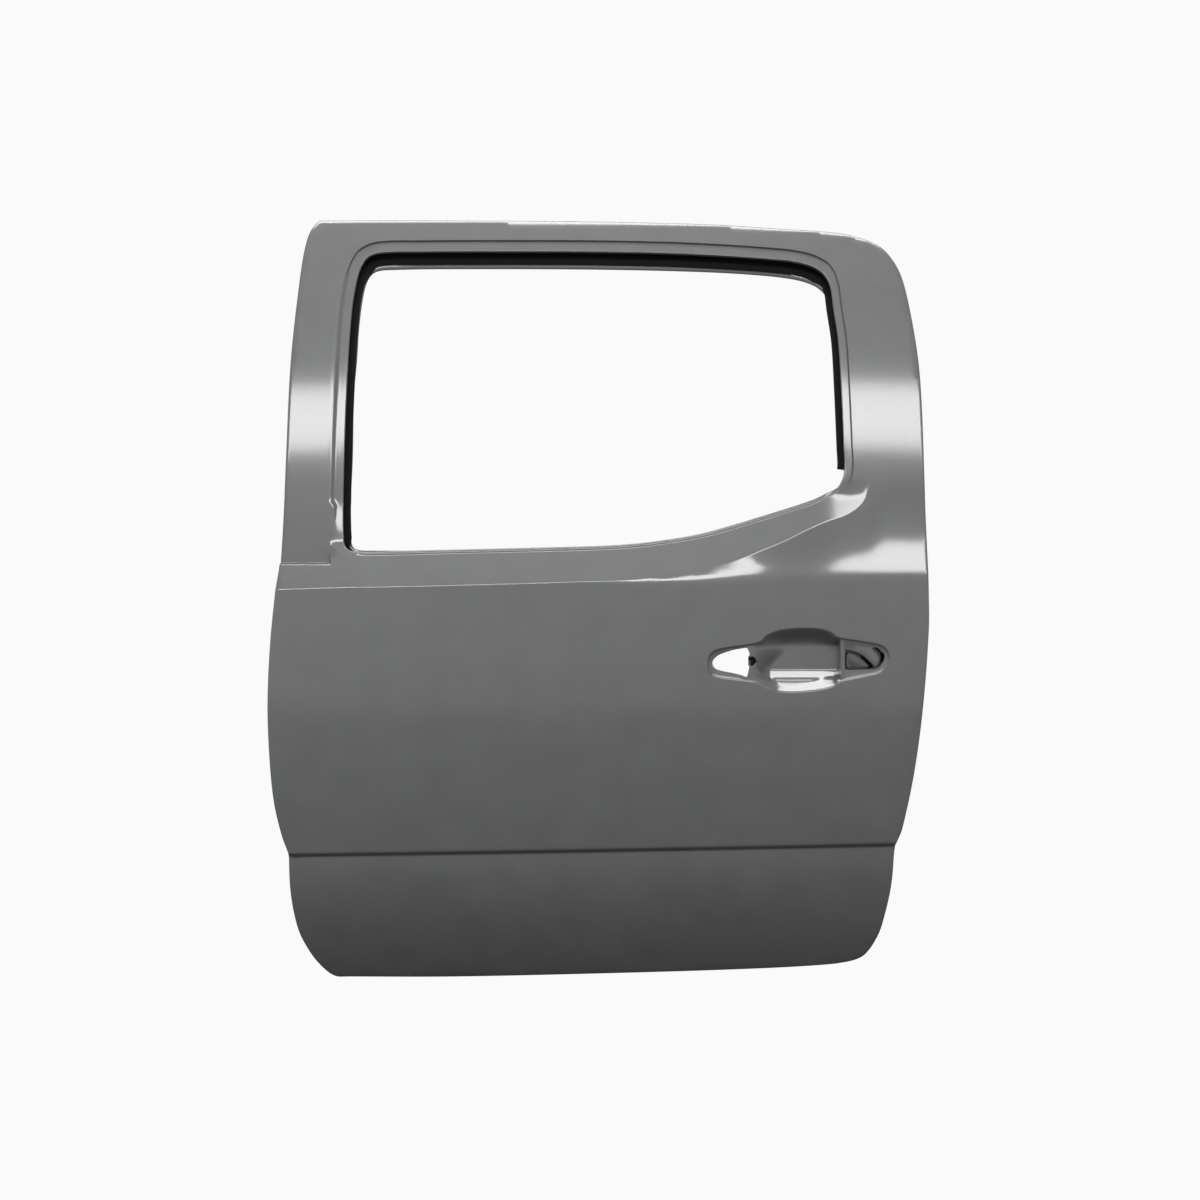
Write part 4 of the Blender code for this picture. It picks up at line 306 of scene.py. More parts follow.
HANDLE_SHARES = (
    (0.0, -0.107), (0.011, 0.082), (0.05, 0.164), (0.126, 0.21), (0.218, 0.246), (0.289, 0.294), (0.318, 0.375),
    (0.386, 0.458), (0.469, 0.494), (0.56, 0.5), (0.628, 0.483), (0.686, 0.423), (0.714, 0.36), (0.854, 0.294),
    (0.963, 0.223), (0.992, 0.129), (1.0, -0.013), (0.979, -0.107), (0.937, -0.202), (0.853, -0.26),
    (0.719, -0.344), (0.7, -0.395), (0.644, -0.447), (0.56, -0.483), (0.469, -0.5), (0.385, -0.483),
    (0.318, -0.412), (0.268, -0.354), (0.184, -0.317), (0.059, -0.271), (0.017, -0.225))
HANDLE_FRONT_HOLE_SHARES = (
    (0.028, -0.053), (0.034, 0.01), (0.058, 0.072), (0.095, 0.118), (0.137, 0.155), (0.18, 0.178),
    (0.216, 0.192), (0.2195, 0.184), (0.23, 0.11), (0.232, 0.0), (0.227, -0.13), (0.217, -0.245),
    (0.211, -0.252), (0.18, -0.222), (0.13, -0.19), (0.08, -0.162), (0.042, -0.122))
HANDLE_NOTCH_SHARES = (
    (0.2375, 0.05), (0.252, 0.048), (0.266, 0.016), (0.27, -0.012), (0.264, -0.048), (0.25, -0.082),
    (0.2375, -0.084), (0.2362, -0.02))
HANDLE_REAR_HOLE_SHARES = (
    (0.7545, 0.156), (0.76, 0.162), (0.786, 0.148), (0.82, 0.12), (0.848, 0.08), (0.876, 0.017), (0.9, -0.05),
    (0.917, -0.09), (0.929, -0.078), (0.938, -0.03), (0.939, 0.033), (0.93, 0.095), (0.914, 0.142),
    (0.904, 0.171), (0.91, 0.193), (0.927, 0.196), (0.944, 0.168), (0.957, 0.122), (0.97, 0.095),
    (0.972, 0.048), (0.966, -0.006), (0.952, -0.068), (0.936, -0.115), (0.91, -0.142), (0.874, -0.148),
    (0.82, -0.151), (0.76, -0.152), (0.7545, -0.146))
LOCK_BOSS_SHARES = (
    (0.7685, 0.108), (0.79, 0.104), (0.82, 0.07), (0.85, 0.02), (0.878, -0.05), (0.892, -0.1), (0.86, -0.118),
    (0.8, -0.122), (0.7685, -0.12))
LOCK_BOSS_DEPTH = 0.0062
LOCK_BOSS_LENGTH = 0.0120
LOCK_BOSS_CROWN = 0.0035
NOSE_PROFILE = ((0.0, LOCK_BOSS_LENGTH), (0.0, 0.0012), (-0.0004, 0.0004), (-0.0010, 0.0))
# Setback and margin of the near-black plate behind the handle notch, which is painted shade for the dark gap
# there.
NOTCH_SHADE_DEPTH = 0.0030
NOTCH_SHADE_MARGIN = 0.0022
FRONT_SERVICE_SHARES = ((0.190, 0.300), (0.125, 0.330), (0.125, 0.470))
REAR_SERVICE_SHARES = ((0.830, 0.470), (0.830, 0.360), (0.760, 0.300))
SERVICE_SHARES = (0.300, 0.470)
LOWER_SERVICE_SHARES = ((0.560, 0.130), (0.560, 0.205), (0.800, 0.205), (0.800, 0.130))
RIB_SHARES = (0.120, 0.470)
CLIP_HOLE_SHARES = (
    (0.095, 0.2), (0.1, 0.092), (0.33, 0.066), (0.6, 0.068), (0.84, 0.08), (0.885, 0.24), (0.905, 0.42),
    (0.093, 0.4), (0.467, 0.095))
NUT_SHARES = ((0.160, 0.285), (0.091, 0.340), (0.870, 0.385), (0.800, 0.285))
RIB_NUT_SHARES = ((-1.0, 0.320), (-1.0, 0.450), (1.0, 0.330), (1.0, 0.450))


def linear_colour(code):
    """An sRGB hex colour as linear red, green and blue."""
    levels = [int(code[index:index + 2], 16) / 255.0 for index in (1, 3, 5)]
    return tuple(level / 12.92 if level <= 0.04045 else ((level + 0.055) / 1.055) ** 2.4 for level in levels)


# Plan curves

def in_lengths(shares, width=DOOR_WIDTH, height=DOOR_HEIGHT):
    return np.array([row[:2] for row in shares], float) * (width, height)


def ease(share):
    share = np.clip(share, 0.0, 1.0)
    return share * share * (3.0 - 2.0 * share)


def ramp(value, start, end):
    return ease((value - start) / (end - start))


def mix(first, second, share):
    return first + (second - first) * share


def soft_max(first, second, blend):
    """The larger of two depths, rounded where they meet."""
    overlap = np.maximum(blend - np.abs(first - second), 0.0) / blend
    return np.maximum(first, second) + overlap * overlap * blend / 4.0


def slope(degrees):
    return math.tan(math.radians(degrees))


def smooth_run(points, steps=16):
    """A smooth curve through POINTS."""
    last = len(points) - 1
    t = (np.arange(steps) / steps)[:, None]
    curve = []
    for index in range(last):
        start, end = points[index], points[index + 1]
        before, after = points[max(index - 1, 0)], points[min(index + 2, last)]
        span = np.linalg.norm(end - start)
        pull_in = (end - before) / np.linalg.norm(end - before) * span
        pull_out = (after - start) / np.linalg.norm(after - start) * span
        curve.append(start * (2 * t ** 3 - 3 * t ** 2 + 1) + pull_in * (t ** 3 - 2 * t ** 2 + t)
                     + end * (3 * t ** 2 - 2 * t ** 3) + pull_out * (t ** 3 - t ** 2))
    return np.concatenate(curve + [points[-1:]])


def smooth_loop_curve(points):
    """A closed smooth curve whose last point repeats its first."""
    steps = 16
    wrapped = np.concatenate([points[-1:], points, points[:2]])
    return smooth_run(wrapped, steps)[steps:-steps]


def lengths_along(curve):
    """Length from a curve's start to each of its points."""
    return np.concatenate([[0.0], np.cumsum(np.linalg.norm(np.diff(curve, axis=0), axis=1))])


def points_at(curve, lengths, stations):
    """The points of a curve at the lengths STATIONS along it."""
    return np.stack([np.interp(stations, lengths, curve[:, axis]) for axis in (0, 1)], axis=1)


def evenly(curve, spacing):
    """Points on a curve no further apart than SPACING, with both of its ends."""
    lengths = lengths_along(curve)
    pieces = max(2, math.ceil(lengths[-1] / spacing))
    return points_at(curve, lengths, np.linspace(0.0, lengths[-1], pieces + 1))


def upright(x, shares):
    """Points of an upright line at X, at shares of the door's height."""
    return np.array([(x, share * DOOR_HEIGHT) for share in shares])


def even_loop(points, spacing):
    return evenly(smooth_loop_curve(points), spacing)[:-1]


def rounded_loop(corners, radius, steps=8):
    """A closed polygon with rounded corners."""
    loop = []
    count = len(corners)
    for index, corner in enumerate(corners):
        to_last = corners[index - 1] - corner
        to_next = corners[(index + 1) % count] - corner
        to_last, to_next = to_last / np.linalg.norm(to_last), to_next / np.linalg.norm(to_next)
        half = math.acos(np.dot(to_last, to_next)) / 2.0
        tangent = radius / math.tan(half)
        bisector = (to_last + to_next) / np.linalg.norm(to_last + to_next)
        centre = corner + bisector * (radius / math.sin(half))
        first, last = corner + to_last * tangent - centre, corner + to_next * tangent - centre
        start = math.atan2(first[1], first[0])
        sweep = math.copysign(math.pi - 2.0 * half, first[0] * last[1] - first[1] * last[0])
        for step in range(steps + 1):
            angle = start + sweep * step / steps
            loop.append(centre + radius * np.array((math.cos(angle), math.sin(angle))))
    return np.array(loop)


def circle_loop(centre, radius, sides):
    angles = 2.0 * math.pi * np.arange(sides) / sides
    return np.array(centre) + radius * np.stack([np.cos(angles), np.sin(angles)], axis=1)


def outward_normals(loop):
    """Mitred outward directions at the points of a closed loop."""
    before, after = loop - np.roll(loop, 1, axis=0), np.roll(loop, -1, axis=0) - loop
    area = np.sum(np.roll(loop, 1, axis=0)[:, 0] * loop[:, 1] - np.roll(loop, 1, axis=0)[:, 1] * loop[:, 0])
    sides = []
    for edge in (before, after):
        edge = edge / np.maximum(np.linalg.norm(edge, axis=1), 1e-12)[:, None]
        sides.append(np.stack([edge[:, 1], -edge[:, 0]], axis=1) * np.sign(area))
    middle = sides[0] + sides[1]
    middle /= np.maximum(np.linalg.norm(middle, axis=1), 1e-12)[:, None]
    return middle / np.maximum(np.sum(middle * sides[0], axis=1), 0.5)[:, None]


def offset_loop(loop, distances):
    return loop + outward_normals(loop) * np.reshape(np.broadcast_to(distances, len(loop)), (-1, 1))


def inside(points, loop):
    """Which of the points lie inside a closed loop."""
    within = np.zeros(len(points), bool)
    starts = np.roll(loop, 1, axis=0)
    for first in range(0, len(points), POINTS_AT_ONCE):
        x, z = points[first:first + POINTS_AT_ONCE, :1], points[first:first + POINTS_AT_ONCE, 1:]
        straddles = (starts[:, 1] > z) != (loop[:, 1] > z)
        rise = np.where(starts[:, 1] == loop[:, 1], 1.0, loop[:, 1] - starts[:, 1])
        crossing = starts[:, 0] + (z - starts[:, 1]) * (loop[:, 0] - starts[:, 0]) / rise
        within[first:first + POINTS_AT_ONCE] = np.sum(straddles & (x < crossing), axis=1) % 2 == 1
    return within


def loop_distance(points, loop):
    """Distance from each point to the nearest edge of a loop."""
    nearest = np.full(len(points), np.inf)
    starts = np.roll(loop, 1, axis=0)
    edges = loop - starts
    squares = np.maximum(np.sum(edges * edges, axis=1), 1e-18)
    for first in range(0, len(points), ARMS_AT_ONCE):
        arms = points[first:first + ARMS_AT_ONCE, None, :] - starts
        shares = np.clip(np.sum(arms * edges, axis=2) / squares, 0.0, 1.0)
        gaps = np.linalg.norm(arms - edges * shares[:, :, None], axis=2)
        nearest[first:first + ARMS_AT_ONCE] = gaps.min(axis=1)
    return nearest


def between_loops(points, outer, inner):
    """0 outside OUTER, 1 inside INNER and a straight ramp between them."""
    share = np.zeros(len(points))
    low, high = outer.min(axis=0), outer.max(axis=0)
    near = np.flatnonzero(np.all((points >= low) & (points <= high), axis=1))
    near = near[inside(points[near], outer)]
    within = inside(points[near], inner)
    share[near[within]] = 1.0
    ring = near[~within]
    to_outer, to_inner = loop_distance(points[ring], outer), loop_distance(points[ring], inner)
    share[ring] = to_outer / np.maximum(to_outer + to_inner, 1e-12)
    return share


def side_widths(curve, width_of_side):
    """The width at each point round the window, from the sides of the two nearest outline points."""
    corners = in_lengths(WINDOW_SHARES)
    sides = np.array([width_of_side[row[2]] for row in WINDOW_SHARES])
    gaps = np.linalg.norm(curve[:, None, :] - corners, axis=2)
    order = np.argsort(gaps, axis=1)[:, :2]
    first, second = np.take_along_axis(gaps, order, axis=1).T
    return mix(sides[order[:, 0]], sides[order[:, 1]], first / (first + second))


def door_outline(spacing):
    runs = (FRONT_LOWER_SHARES, FRONT_UPPER_SHARES, TOP_REAR_SHARES, REAR_LOWER_SHARES)
    return np.concatenate([evenly(smooth_run(in_lengths(shares)), spacing)[:-1] for shares in runs])


OUTLINE = door_outline(OUTLINE_SPACING)
WINDOW = even_loop(in_lengths(WINDOW_SHARES), WINDOW_SPACING)
MOULDING_WIDTHS = side_widths(WINDOW, MOULDING_SIDES)
MOULDING_EDGE = offset_loop(WINDOW, MOULDING_WIDTHS)
MOULDING_STEPS = side_widths(WINDOW, MOULDING_RUNS)
MOULDING_FOOT = offset_loop(WINDOW, MOULDING_WIDTHS - MOULDING_STEPS)
CREASE = smooth_run(in_lengths(CREASE_SHARES))
HANDLE_CORNER = np.array((HANDLE_X, HANDLE_Z))
HANDLE_SEAT = even_loop(in_lengths(HANDLE_SHARES, HANDLE_LENGTH, HANDLE_HEIGHT) + HANDLE_CORNER, SEAT_SPACING)
HANDLE_FLOOR = offset_loop(HANDLE_SEAT, -HANDLE_SEAT_RUN)
LEDGE_END_X = (in_lengths(WINDOW_SHARES)[0] - (MOULDING_SIDES["front"], 0.0))[0]


# Surfaces

def side_depth(x, z):
    return (z - BULGE_HEIGHT) ** 2 / (2 * SIDE_RADIUS) + (x - PLAN_CENTRE) ** 2 / (2 * PLAN_RADIUS)


def shoulder_dip(x, z):
    """How far the lean surface stands out over the rear shoulder, whose upper line climbs to the rear."""
    dip = np.full(np.shape(x), SHOULDER_DIPS[0][1])
    for (start, low), (end, high) in zip(SHOULDER_DIPS, SHOULDER_DIPS[1:]):
        dip = dip + (high - low) * ramp(x, start, end)
    return dip * (1.0 - ramp(z, *SHOULDER_DIP_HEIGHTS))


def lean_depth(x, z):
    """The surface that the window frame leans along."""
    rise = z - LEAN_HEIGHT
    start = mix(LEAN_FRONT_DEPTH, LEAN_REAR_DEPTH, ease(x / DOOR_WIDTH))
    bow = (x - PLAN_CENTRE) ** 2 / (2 * PLAN_RADIUS) - shoulder_dip(x, z)
    return start + bow + rise * slope(LEAN_TILT) + np.maximum(rise, 0.0) ** 2 / (2 * LEAN_RADIUS)


def rocker_line(x):
    return mix(ROCKER_FRONT_HEIGHT, ROCKER_REAR_HEIGHT, x / DOOR_WIDTH)


def body_depth(x, z):
    along = ramp(x / DOOR_WIDTH, SHOULDER_START_SHARE, SHOULDER_END_SHARE)
    line = np.minimum(np.interp(x, CREASE[:, 0], CREASE[:, 1]), SHOULDER_REAR_HEIGHT)
    tilt = np.tan(np.radians(mix(SHOULDER_FRONT_TILT, SHOULDER_REAR_TILT, along)))
    blend = mix(SHOULDER_FRONT_BLEND, SHOULDER_REAR_BLEND, along)
    lean = lean_depth(x, z)
    depth = soft_max(side_depth(x, z), side_depth(x, line) + (z - line) * tilt, blend)
    depth = np.where(z > line, -soft_max(-depth, -lean, blend), depth)
    on_pillar = ramp(LEDGE_END_X - x, -LEDGE_RUN, 0.0)
    return mix(depth, lean, on_pillar * ramp(z, LEDGE_HEIGHT - LEDGE_RUN, LEDGE_HEIGHT))


def sill_depth(x, z, body):
    """Extra depth of the strip between the belt crease and the window."""
    crease = np.interp(x, CREASE[:, 0], CREASE[:, 1])
    turn = ramp(x, SILL_TILT_START_SHARE * DOOR_WIDTH, SILL_TILT_END_SHARE * DOOR_WIDTH)
    turn = -soft_max(-turn, -SILL_TURN_HELD, SILL_TURN_BLEND)
    turn += (1.0 - SILL_TURN_HELD) * ramp(x, *SILL_LAST_TURN)
    tilt = np.tan(np.radians(mix(SHOULDER_FRONT_TILT, SILL_REAR_TILT, turn)))
    strip = body_depth(x, crease) + (z - crease) * tilt
    extra = np.maximum(strip - body, 0.0) * (1.0 - ramp(z, SILL_FADE_LOW, SILL_FADE_HIGH))
    on_strip = (z > crease) & (x < CREASE[-1, 0])
    return np.where(on_strip, extra * ramp(x, SILL_START_X, SILL_FULL_X), 0.0)


def pocket_depth(x, z):
    """The hand recess: a scoop under an arched upper wall, with a stepped sill and a sheer rear wall."""
    upper = HANDLE_FLOOR[HANDLE_FLOOR[:, 1] > HANDLE_Z]
    lower = HANDLE_FLOOR[HANDLE_FLOOR[:, 1] < HANDLE_Z]
    top = np.interp(x, *upper[np.argsort(upper[:, 0])].T)
    bottom = np.interp(x, *lower[np.argsort(lower[:, 0])].T)
    fall = np.clip((top - z) / np.maximum(top - POCKET_UPPER_FOOT, 0.004), 0.0, 1.0)
    heights, shares = np.array(POCKET_SILL).T
    rise = np.maximum(z - bottom, 0.0) * POCKET_SILL_SLOPE + np.interp(z, heights[2:4], (0.0, POCKET_DEPTH))
    sill = np.minimum(np.interp(z, heights, shares) * POCKET_DEPTH, rise)
    left, full, turn, wall = POCKET_SIDES
    full = mix(POCKET_SILL_FULL_X, full, ramp(z, heights[3], heights[4]))
    across = ramp(x, left, full) * (1.0 - ramp(x, turn, wall))
    return np.minimum((1.0 - (1.0 - fall) ** 2) * POCKET_DEPTH, sill) * across


def skin_depth(points, recesses=True):
    """Depth of the outer panel's visible face."""
    x, z = points.T
    depth = body_depth(x, z)
    depth = depth + sill_depth(x, z, depth)
    drop = rocker_line(x) - z
    depth += ROCKER_STEP * ramp(drop, 0.0, ROCKER_RUN)
    drop = np.maximum(drop, 0.0)
    depth += drop ** 2 / (2 * ROCKER_RADIUS) - ROCKER_OUTWARD * drop
    if recesses:
        fade = (1.0 - ramp(z, *MOULDING_FADE)) * (1.0 - ramp(x, *MOULDING_FADE_END_X))
        depth += MOULDING_DEPTH * (1.0 - fade) * ease(between_loops(points, MOULDING_EDGE, MOULDING_FOOT))
        near = (np.abs(z - HANDLE_Z) < HANDLE_HEIGHT) & (x > HANDLE_X)
        depth[near] += HANDLE_SEAT_DEPTH * ease(between_loops(points[near], HANDLE_SEAT, HANDLE_FLOOR))
        depth[near] += pocket_depth(x[near], z[near])
    return depth


def skin_points(points, offset=0.0, recesses=True):
    """Points OFFSET behind the outer panel's visible face, square to it, with their ways inward."""
    depth = skin_depth(points, recesses)
    across, up = ((skin_depth(points + shift, recesses) - skin_depth(points - shift, recesses)) / (2 * SLOPE_STEP)
                  for shift in np.array(((SLOPE_STEP, 0.0), (0.0, SLOPE_STEP))))
    inward = np.stack([-across, np.ones(len(points)), -up], axis=1)
    inward /= np.linalg.norm(inward, axis=1)[:, None]
    return np.stack([points[:, 0], depth, points[:, 1]], axis=1) + inward * offset, inward


def inner_depth(x, z):
    return soft_max(INNER_PLANE, lean_depth(x, z) + FRAME_DEPTH, PLANE_BLEND)


def hinge_wall_x(depth):
    return HINGE_WALL_X - (INNER_PLANE - SEAL_SEAT_DROP - depth) * slope(WALL_DRAFT)


def latch_wall_x(depth):
    return LATCH_WALL_X + (INNER_PLANE - SEAL_SEAT_DROP - depth) * slope(WALL_DRAFT)


def inner_wall_loop(spacing=OUTLINE_SPACING):
    """Top line of the inner panel's outer wall."""
    front = upright(HINGE_WALL_X, (WALL_STRAIGHT_LOW_SHARE, HINGE_WALL_HIGH_SHARE))
    rear = upright(LATCH_WALL_X, (LATCH_WALL_HIGH_SHARE, LATCH_WALL_LOW_SHARE))
    lower = smooth_run(np.concatenate([in_lengths(INNER_WALL_SHARES), front[:1]]))
    upper = smooth_run(np.concatenate([front[1:], in_lengths(INNER_PILLAR_SHARES), rear[:1]]))
    back = smooth_run(np.concatenate([rear[1:], in_lengths(INNER_REAR_SHARES), lower[:1]]))
    return np.concatenate([evenly(run, spacing)[:-1] for run in (lower, front, upper, rear, back)])


DRAFT = math.radians(WALL_DRAFT)
ORIGIN = Vector((PANEL_GAUGE * math.cos(DRAFT) - hinge_wall_x(HINGE_MID_DEPTH),
                 -HINGE_MID_DEPTH - PANEL_GAUGE * math.sin(DRAFT), -UPPER_HINGE_Z))
FLANGE_OFFSET = SKIN_GAUGE + SHEET_GAP
CHANNEL_FACE = MOULDING_DEPTH + SKIN_GAUGE + SHEET_GAP
CHANNEL_BACK = CHANNEL_FACE + CHANNEL_WIDTH + 2 * PANEL_GAUGE
WALL_TOP = inner_wall_loop()
WALL_FOOT = offset_loop(WALL_TOP, (inner_depth(*WALL_TOP.T) - SEAL_SEAT_DROP - skin_depth(WALL_TOP, False)
                                   - FLANGE_OFFSET) * slope(WALL_DRAFT))
SEAT_EDGE = offset_loop(WALL_TOP, -SEAL_SEAT_WIDTH)
PLANE_EDGE = offset_loop(WALL_TOP, -SEAL_SEAT_WIDTH - SEAL_STEP_RUN)
INNER_WINDOW = even_loop(in_lengths(INNER_WINDOW_SHARES), OUTLINE_SPACING)
WINDOW_FLANGE = offset_loop(INNER_WINDOW, WINDOW_FLANGE_WIDTH)
WINDOW_WALL = offset_loop(INNER_WINDOW, WINDOW_FLANGE_WIDTH + WINDOW_WALL_RUN)


# Sheets

def grid_points(loop, holes, clear_of, spacing):
    """A plain grid of points inside LOOP, outside HOLES and clear of the other loops and lines."""
    low, high = loop.min(axis=0), loop.max(axis=0)
    x = np.arange(low[0] + spacing / 2, high[0], spacing)
    z = np.arange(low[1] + spacing / 2, high[1], spacing)
    points = np.stack(np.meshgrid(x, z), axis=2).reshape(-1, 2)
    points = points[inside(points, loop)]
    for hole in holes:
        points = points[~inside(points, hole)]
    for other, closed in clear_of:
        chain = other if closed else np.concatenate([other, other[::-1]])
        points = points[loop_distance(points, chain) > spacing * CLEAR_SHARE]
    return points


def plan_sheet(outline, holes, chains, points, place):
    """A sheet over a plan, with each (chain, closed) kept as its edges. Returns it and its plan points."""
    flat, edges = [], []
    for chain, closed in [(outline, True)] + [(hole, True) for hole in holes] + chains:
        first = len(flat)
        flat += [Vector(point) for point in chain]
        edges += [(first + index, first + index + 1) for index in range(len(chain) - 1)]
        if closed:
            edges.append((first + len(chain) - 1, first))
    flat += [Vector(point) for point in points]
    placed, _, faces, _, _, _ = delaunay_2d_cdt(flat, edges, [], 0, 1e-7)
    plan, faces = np.array(placed), np.array(faces)
    middles = plan[faces].mean(axis=1)
    keep = inside(middles, outline)
    for hole in holes:
        keep &= ~inside(middles, hole)
    faces = faces[keep]
    used, faces = np.unique(faces, return_inverse=True)
    plan, faces = plan[used], faces.reshape(-1, 3)
    work = bmesh.new()
    vertices = [work.verts.new(place_point) for place_point in place(plan)]
    for face in faces:
        work.faces.new([vertices[index] for index in face])
    work.verts.index_update()
    return work, plan


def border_chains(work):
    """The sheet's free edges as closed chains of vertices, in the direction of its faces."""
    following = {}
    for edge in work.edges:
        if edge.is_boundary:
            corner = edge.link_loops[0]
            following[corner.vert] = corner.link_loop_next.vert
    chains = []
    while following:
        vertex = next(iter(following))
        chain = []
        while vertex in following:
            chain.append(vertex)
            vertex = following.pop(vertex)
        chains.append(chain)
    return chains


def add_strip(work, chain, places):
    """Adds a strip of faces from a free edge to PLACES, and returns the new edge."""
    folded = [work.verts.new(place) for place in places]
    count = len(chain)
    for index in range(count):
        after = (index + 1) % count
        work.faces.new((chain[after], chain[index], folded[index], folded[after]))
    return folded


def join_rings(work, rings):
    """Adds faces between each ring of vertices and the next."""
    for first, second in zip(rings, rings[1:]):
        for index in range(len(first)):
            after = (index + 1) % len(first)
            work.faces.new((first[index], first[after], second[after], second[index]))


def close_rings(work, rings):
    """Adds a closed solid through rings of vertices, with a face at each end."""
    join_rings(work, rings)
    work.faces.new(rings[0])
    work.faces.new(rings[-1])
    bmesh.ops.recalc_face_normals(work, faces=work.faces)


def needed(*nodes):
    """Stops an operator whose nodes of the solid model aren't there."""
    missing = [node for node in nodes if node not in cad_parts]
    if missing:
        raise RuntimeError("The solid model lacks " + ", ".join(missing))


def add_object(name, data):
    """An object made of DATA, in the scene."""
    item = bpy.data.objects.new(name, data)
    bpy.context.scene.collection.objects.link(item)
    return item


def finish_mesh(name, work, material_name, angle):
    """Turns a bmesh in the door's plan into an object of the frame's root body."""
    if not work.faces:
        raise RuntimeError(name + " came out without faces")
    mesh = bpy.data.meshes.new(name)
    bmesh.ops.translate(work, verts=work.verts, vec=ORIGIN)
    work.to_mesh(mesh)
    work.free()
    mesh.shade_smooth()
    mesh.set_sharp_from_angle(angle=math.radians(angle))
    piece = add_object(name, mesh)
    mesh.materials.append(painted(material_name))
    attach(piece, "root")
    return piece


def thicken(piece, gauge):
    solid = piece.modifiers.new("sheet gauge", "SOLIDIFY")
    solid.thickness = gauge
    solid.offset = -1.0
    return piece


def roll_edge(work, chain, plan_chain, outward, radius, turn, run, steps):
    """Rolls a free edge of the skin inward through TURN degrees, then carries it straight on for RUN."""
    base, inward = skin_points(plan_chain)
    tip, _ = skin_points(plan_chain + outward * 0.001)
    along = tip - base
    along -= inward * np.sum(along * inward, axis=1)[:, None]
    along /= np.linalg.norm(along, axis=1)[:, None]
    edge = chain
    for step in range(1, steps + 1):
        angle = math.radians(turn) * step / steps
        places = base + along * radius * math.sin(angle) + inward * radius * (1.0 - math.cos(angle))
        edge = add_strip(work, edge, places)
    angle = math.radians(turn)
    heading = along * math.cos(angle) + inward * math.sin(angle)
    for step in range(1, 3):
        edge = add_strip(work, edge, places + heading * run * step / 2)


# Materials

def add_node(tree, kind, settings=None):
    """Adds a shader node with its settings. A setting that is another node's output is joined to the input."""
    node = tree.nodes.new(kind)
    for key, value in (settings or {}).items():
        if isinstance(value, bpy.types.NodeSocket):
            tree.links.new(value, node.inputs[key])
        elif isinstance(key, str) and hasattr(node, key):
            setattr(node, key, value)
        else:
            node.inputs[key].default_value = value
    return node


def new_material(name, shader_settings):
    """A material with one Principled shader, its node tree and that shader."""
    material = bpy.data.materials.new(name)
    material.use_nodes = True
    tree = material.node_tree
    shader = tree.nodes["Principled BSDF"]
    for key, value in shader_settings.items():
        shader.inputs[key].default_value = value
    return material, tree, shader


def noise(tree, millimetres, detail, roughness=0.5):
    """Noise of which one unit is MILLIMETRES of the object."""
    place = add_node(tree, "ShaderNodeTexCoord").outputs["Object"]
    scaled = add_node(tree, "ShaderNodeVectorMath",
                      {"operation": "SCALE", "Vector": place, "Scale": 1000.0 / millimetres}).outputs["Vector"]
    settings = {"Scale": 1.0, "Detail": detail, "Roughness": roughness, "Vector": scaled}
    return add_node(tree, "ShaderNodeTexNoise", settings).outputs["Fac"]


def stretched(tree, value, low, high, start=0.0, end=1.0):
    """A value of START to END stretched to LOW to HIGH."""
    settings = {"From Min": start, "From Max": end, "To Min": low, "To Max": high, "Value": value}
    return add_node(tree, "ShaderNodeMapRange", settings).outputs["Result"]


def multiply_add(tree, value, factor, plus):
    """A value times FACTOR, plus PLUS."""
    settings = {"operation": "MULTIPLY_ADD", 0: value, 1: factor, 2: plus}
    return add_node(tree, "ShaderNodeMath", settings).outputs["Value"]


def tone_colour(tree, shader, colour, tone):
    """Gives the shader a colour times a tone."""
    scaled = add_node(tree, "ShaderNodeVectorMath", {"operation": "SCALE", 0: colour, "Scale": tone})
    tree.links.new(scaled.outputs["Vector"], shader.inputs["Base Color"])


def bump(tree, height, strength, distance, *sockets):
    """Raises the surface by HEIGHT, up to DISTANCE metres, in each of the sockets."""
    node = add_node(tree, "ShaderNodeBump", {"Strength": strength, "Distance": distance, "Height": height})
    for socket in sockets:
        tree.links.new(node.outputs["Normal"], socket)


def electrocoat(name, colour):
    """Grey electrocoat primer, dip-painted over phosphated steel: an even semi-gloss film with faint orange
    peel, cloudy film build and dust that settles on it in store."""
    finish = bpy.context.scene.door_shell.finish
    material, tree, shader = new_material(name, {
        "IOR": PAINT_IOR, "Coat Weight": 1.0, "Coat Roughness": finish.coat_roughness, "Coat IOR": PAINT_IOR,
        "Specular IOR Level": 0.35})
    clouded = stretched(tree, noise(tree, finish.cloud_size, 3.0, 0.55), -1.0, 1.0, 0.3, 0.7)
    speckled = stretched(tree, noise(tree, finish.dust_size, 2.0, 0.7), -1.0, 1.0, 0.35, 0.75)
    blotches = multiply_add(tree, clouded, finish.cloud_strength, 1.0)
    tone_colour(tree, shader, colour, multiply_add(tree, speckled, finish.dust_strength, blotches))
    tree.links.new(multiply_add(tree, clouded, 0.05, 0.42), shader.inputs["Roughness"])
    bump(tree, noise(tree, finish.peel_size, 1.5, 0.45), finish.peel_strength, PEEL_HEIGHT,
         shader.inputs["Normal"], shader.inputs["Coat Normal"])
    return material


def plain_steel(name, colour):
    """Cold-rolled steel left bare on nuts and tapping plates: a dull metal with fine rolling lines."""
    material, tree, shader = new_material(name, {"Metallic": 1.0})
    grain = noise(tree, 3.0, 4.0)
    tone = add_node(tree, "ShaderNodeValToRGB", {"Fac": grain})
    for stop, shade in zip(tone.color_ramp.elements, (colour, linear_colour("#9c9ea0"))):
        stop.color = (*shade, 1.0)
    tree.links.new(tone.outputs["Color"], shader.inputs["Base Color"])
    tree.links.new(stretched(tree, grain, 0.34, 0.55), shader.inputs["Roughness"])
    return material


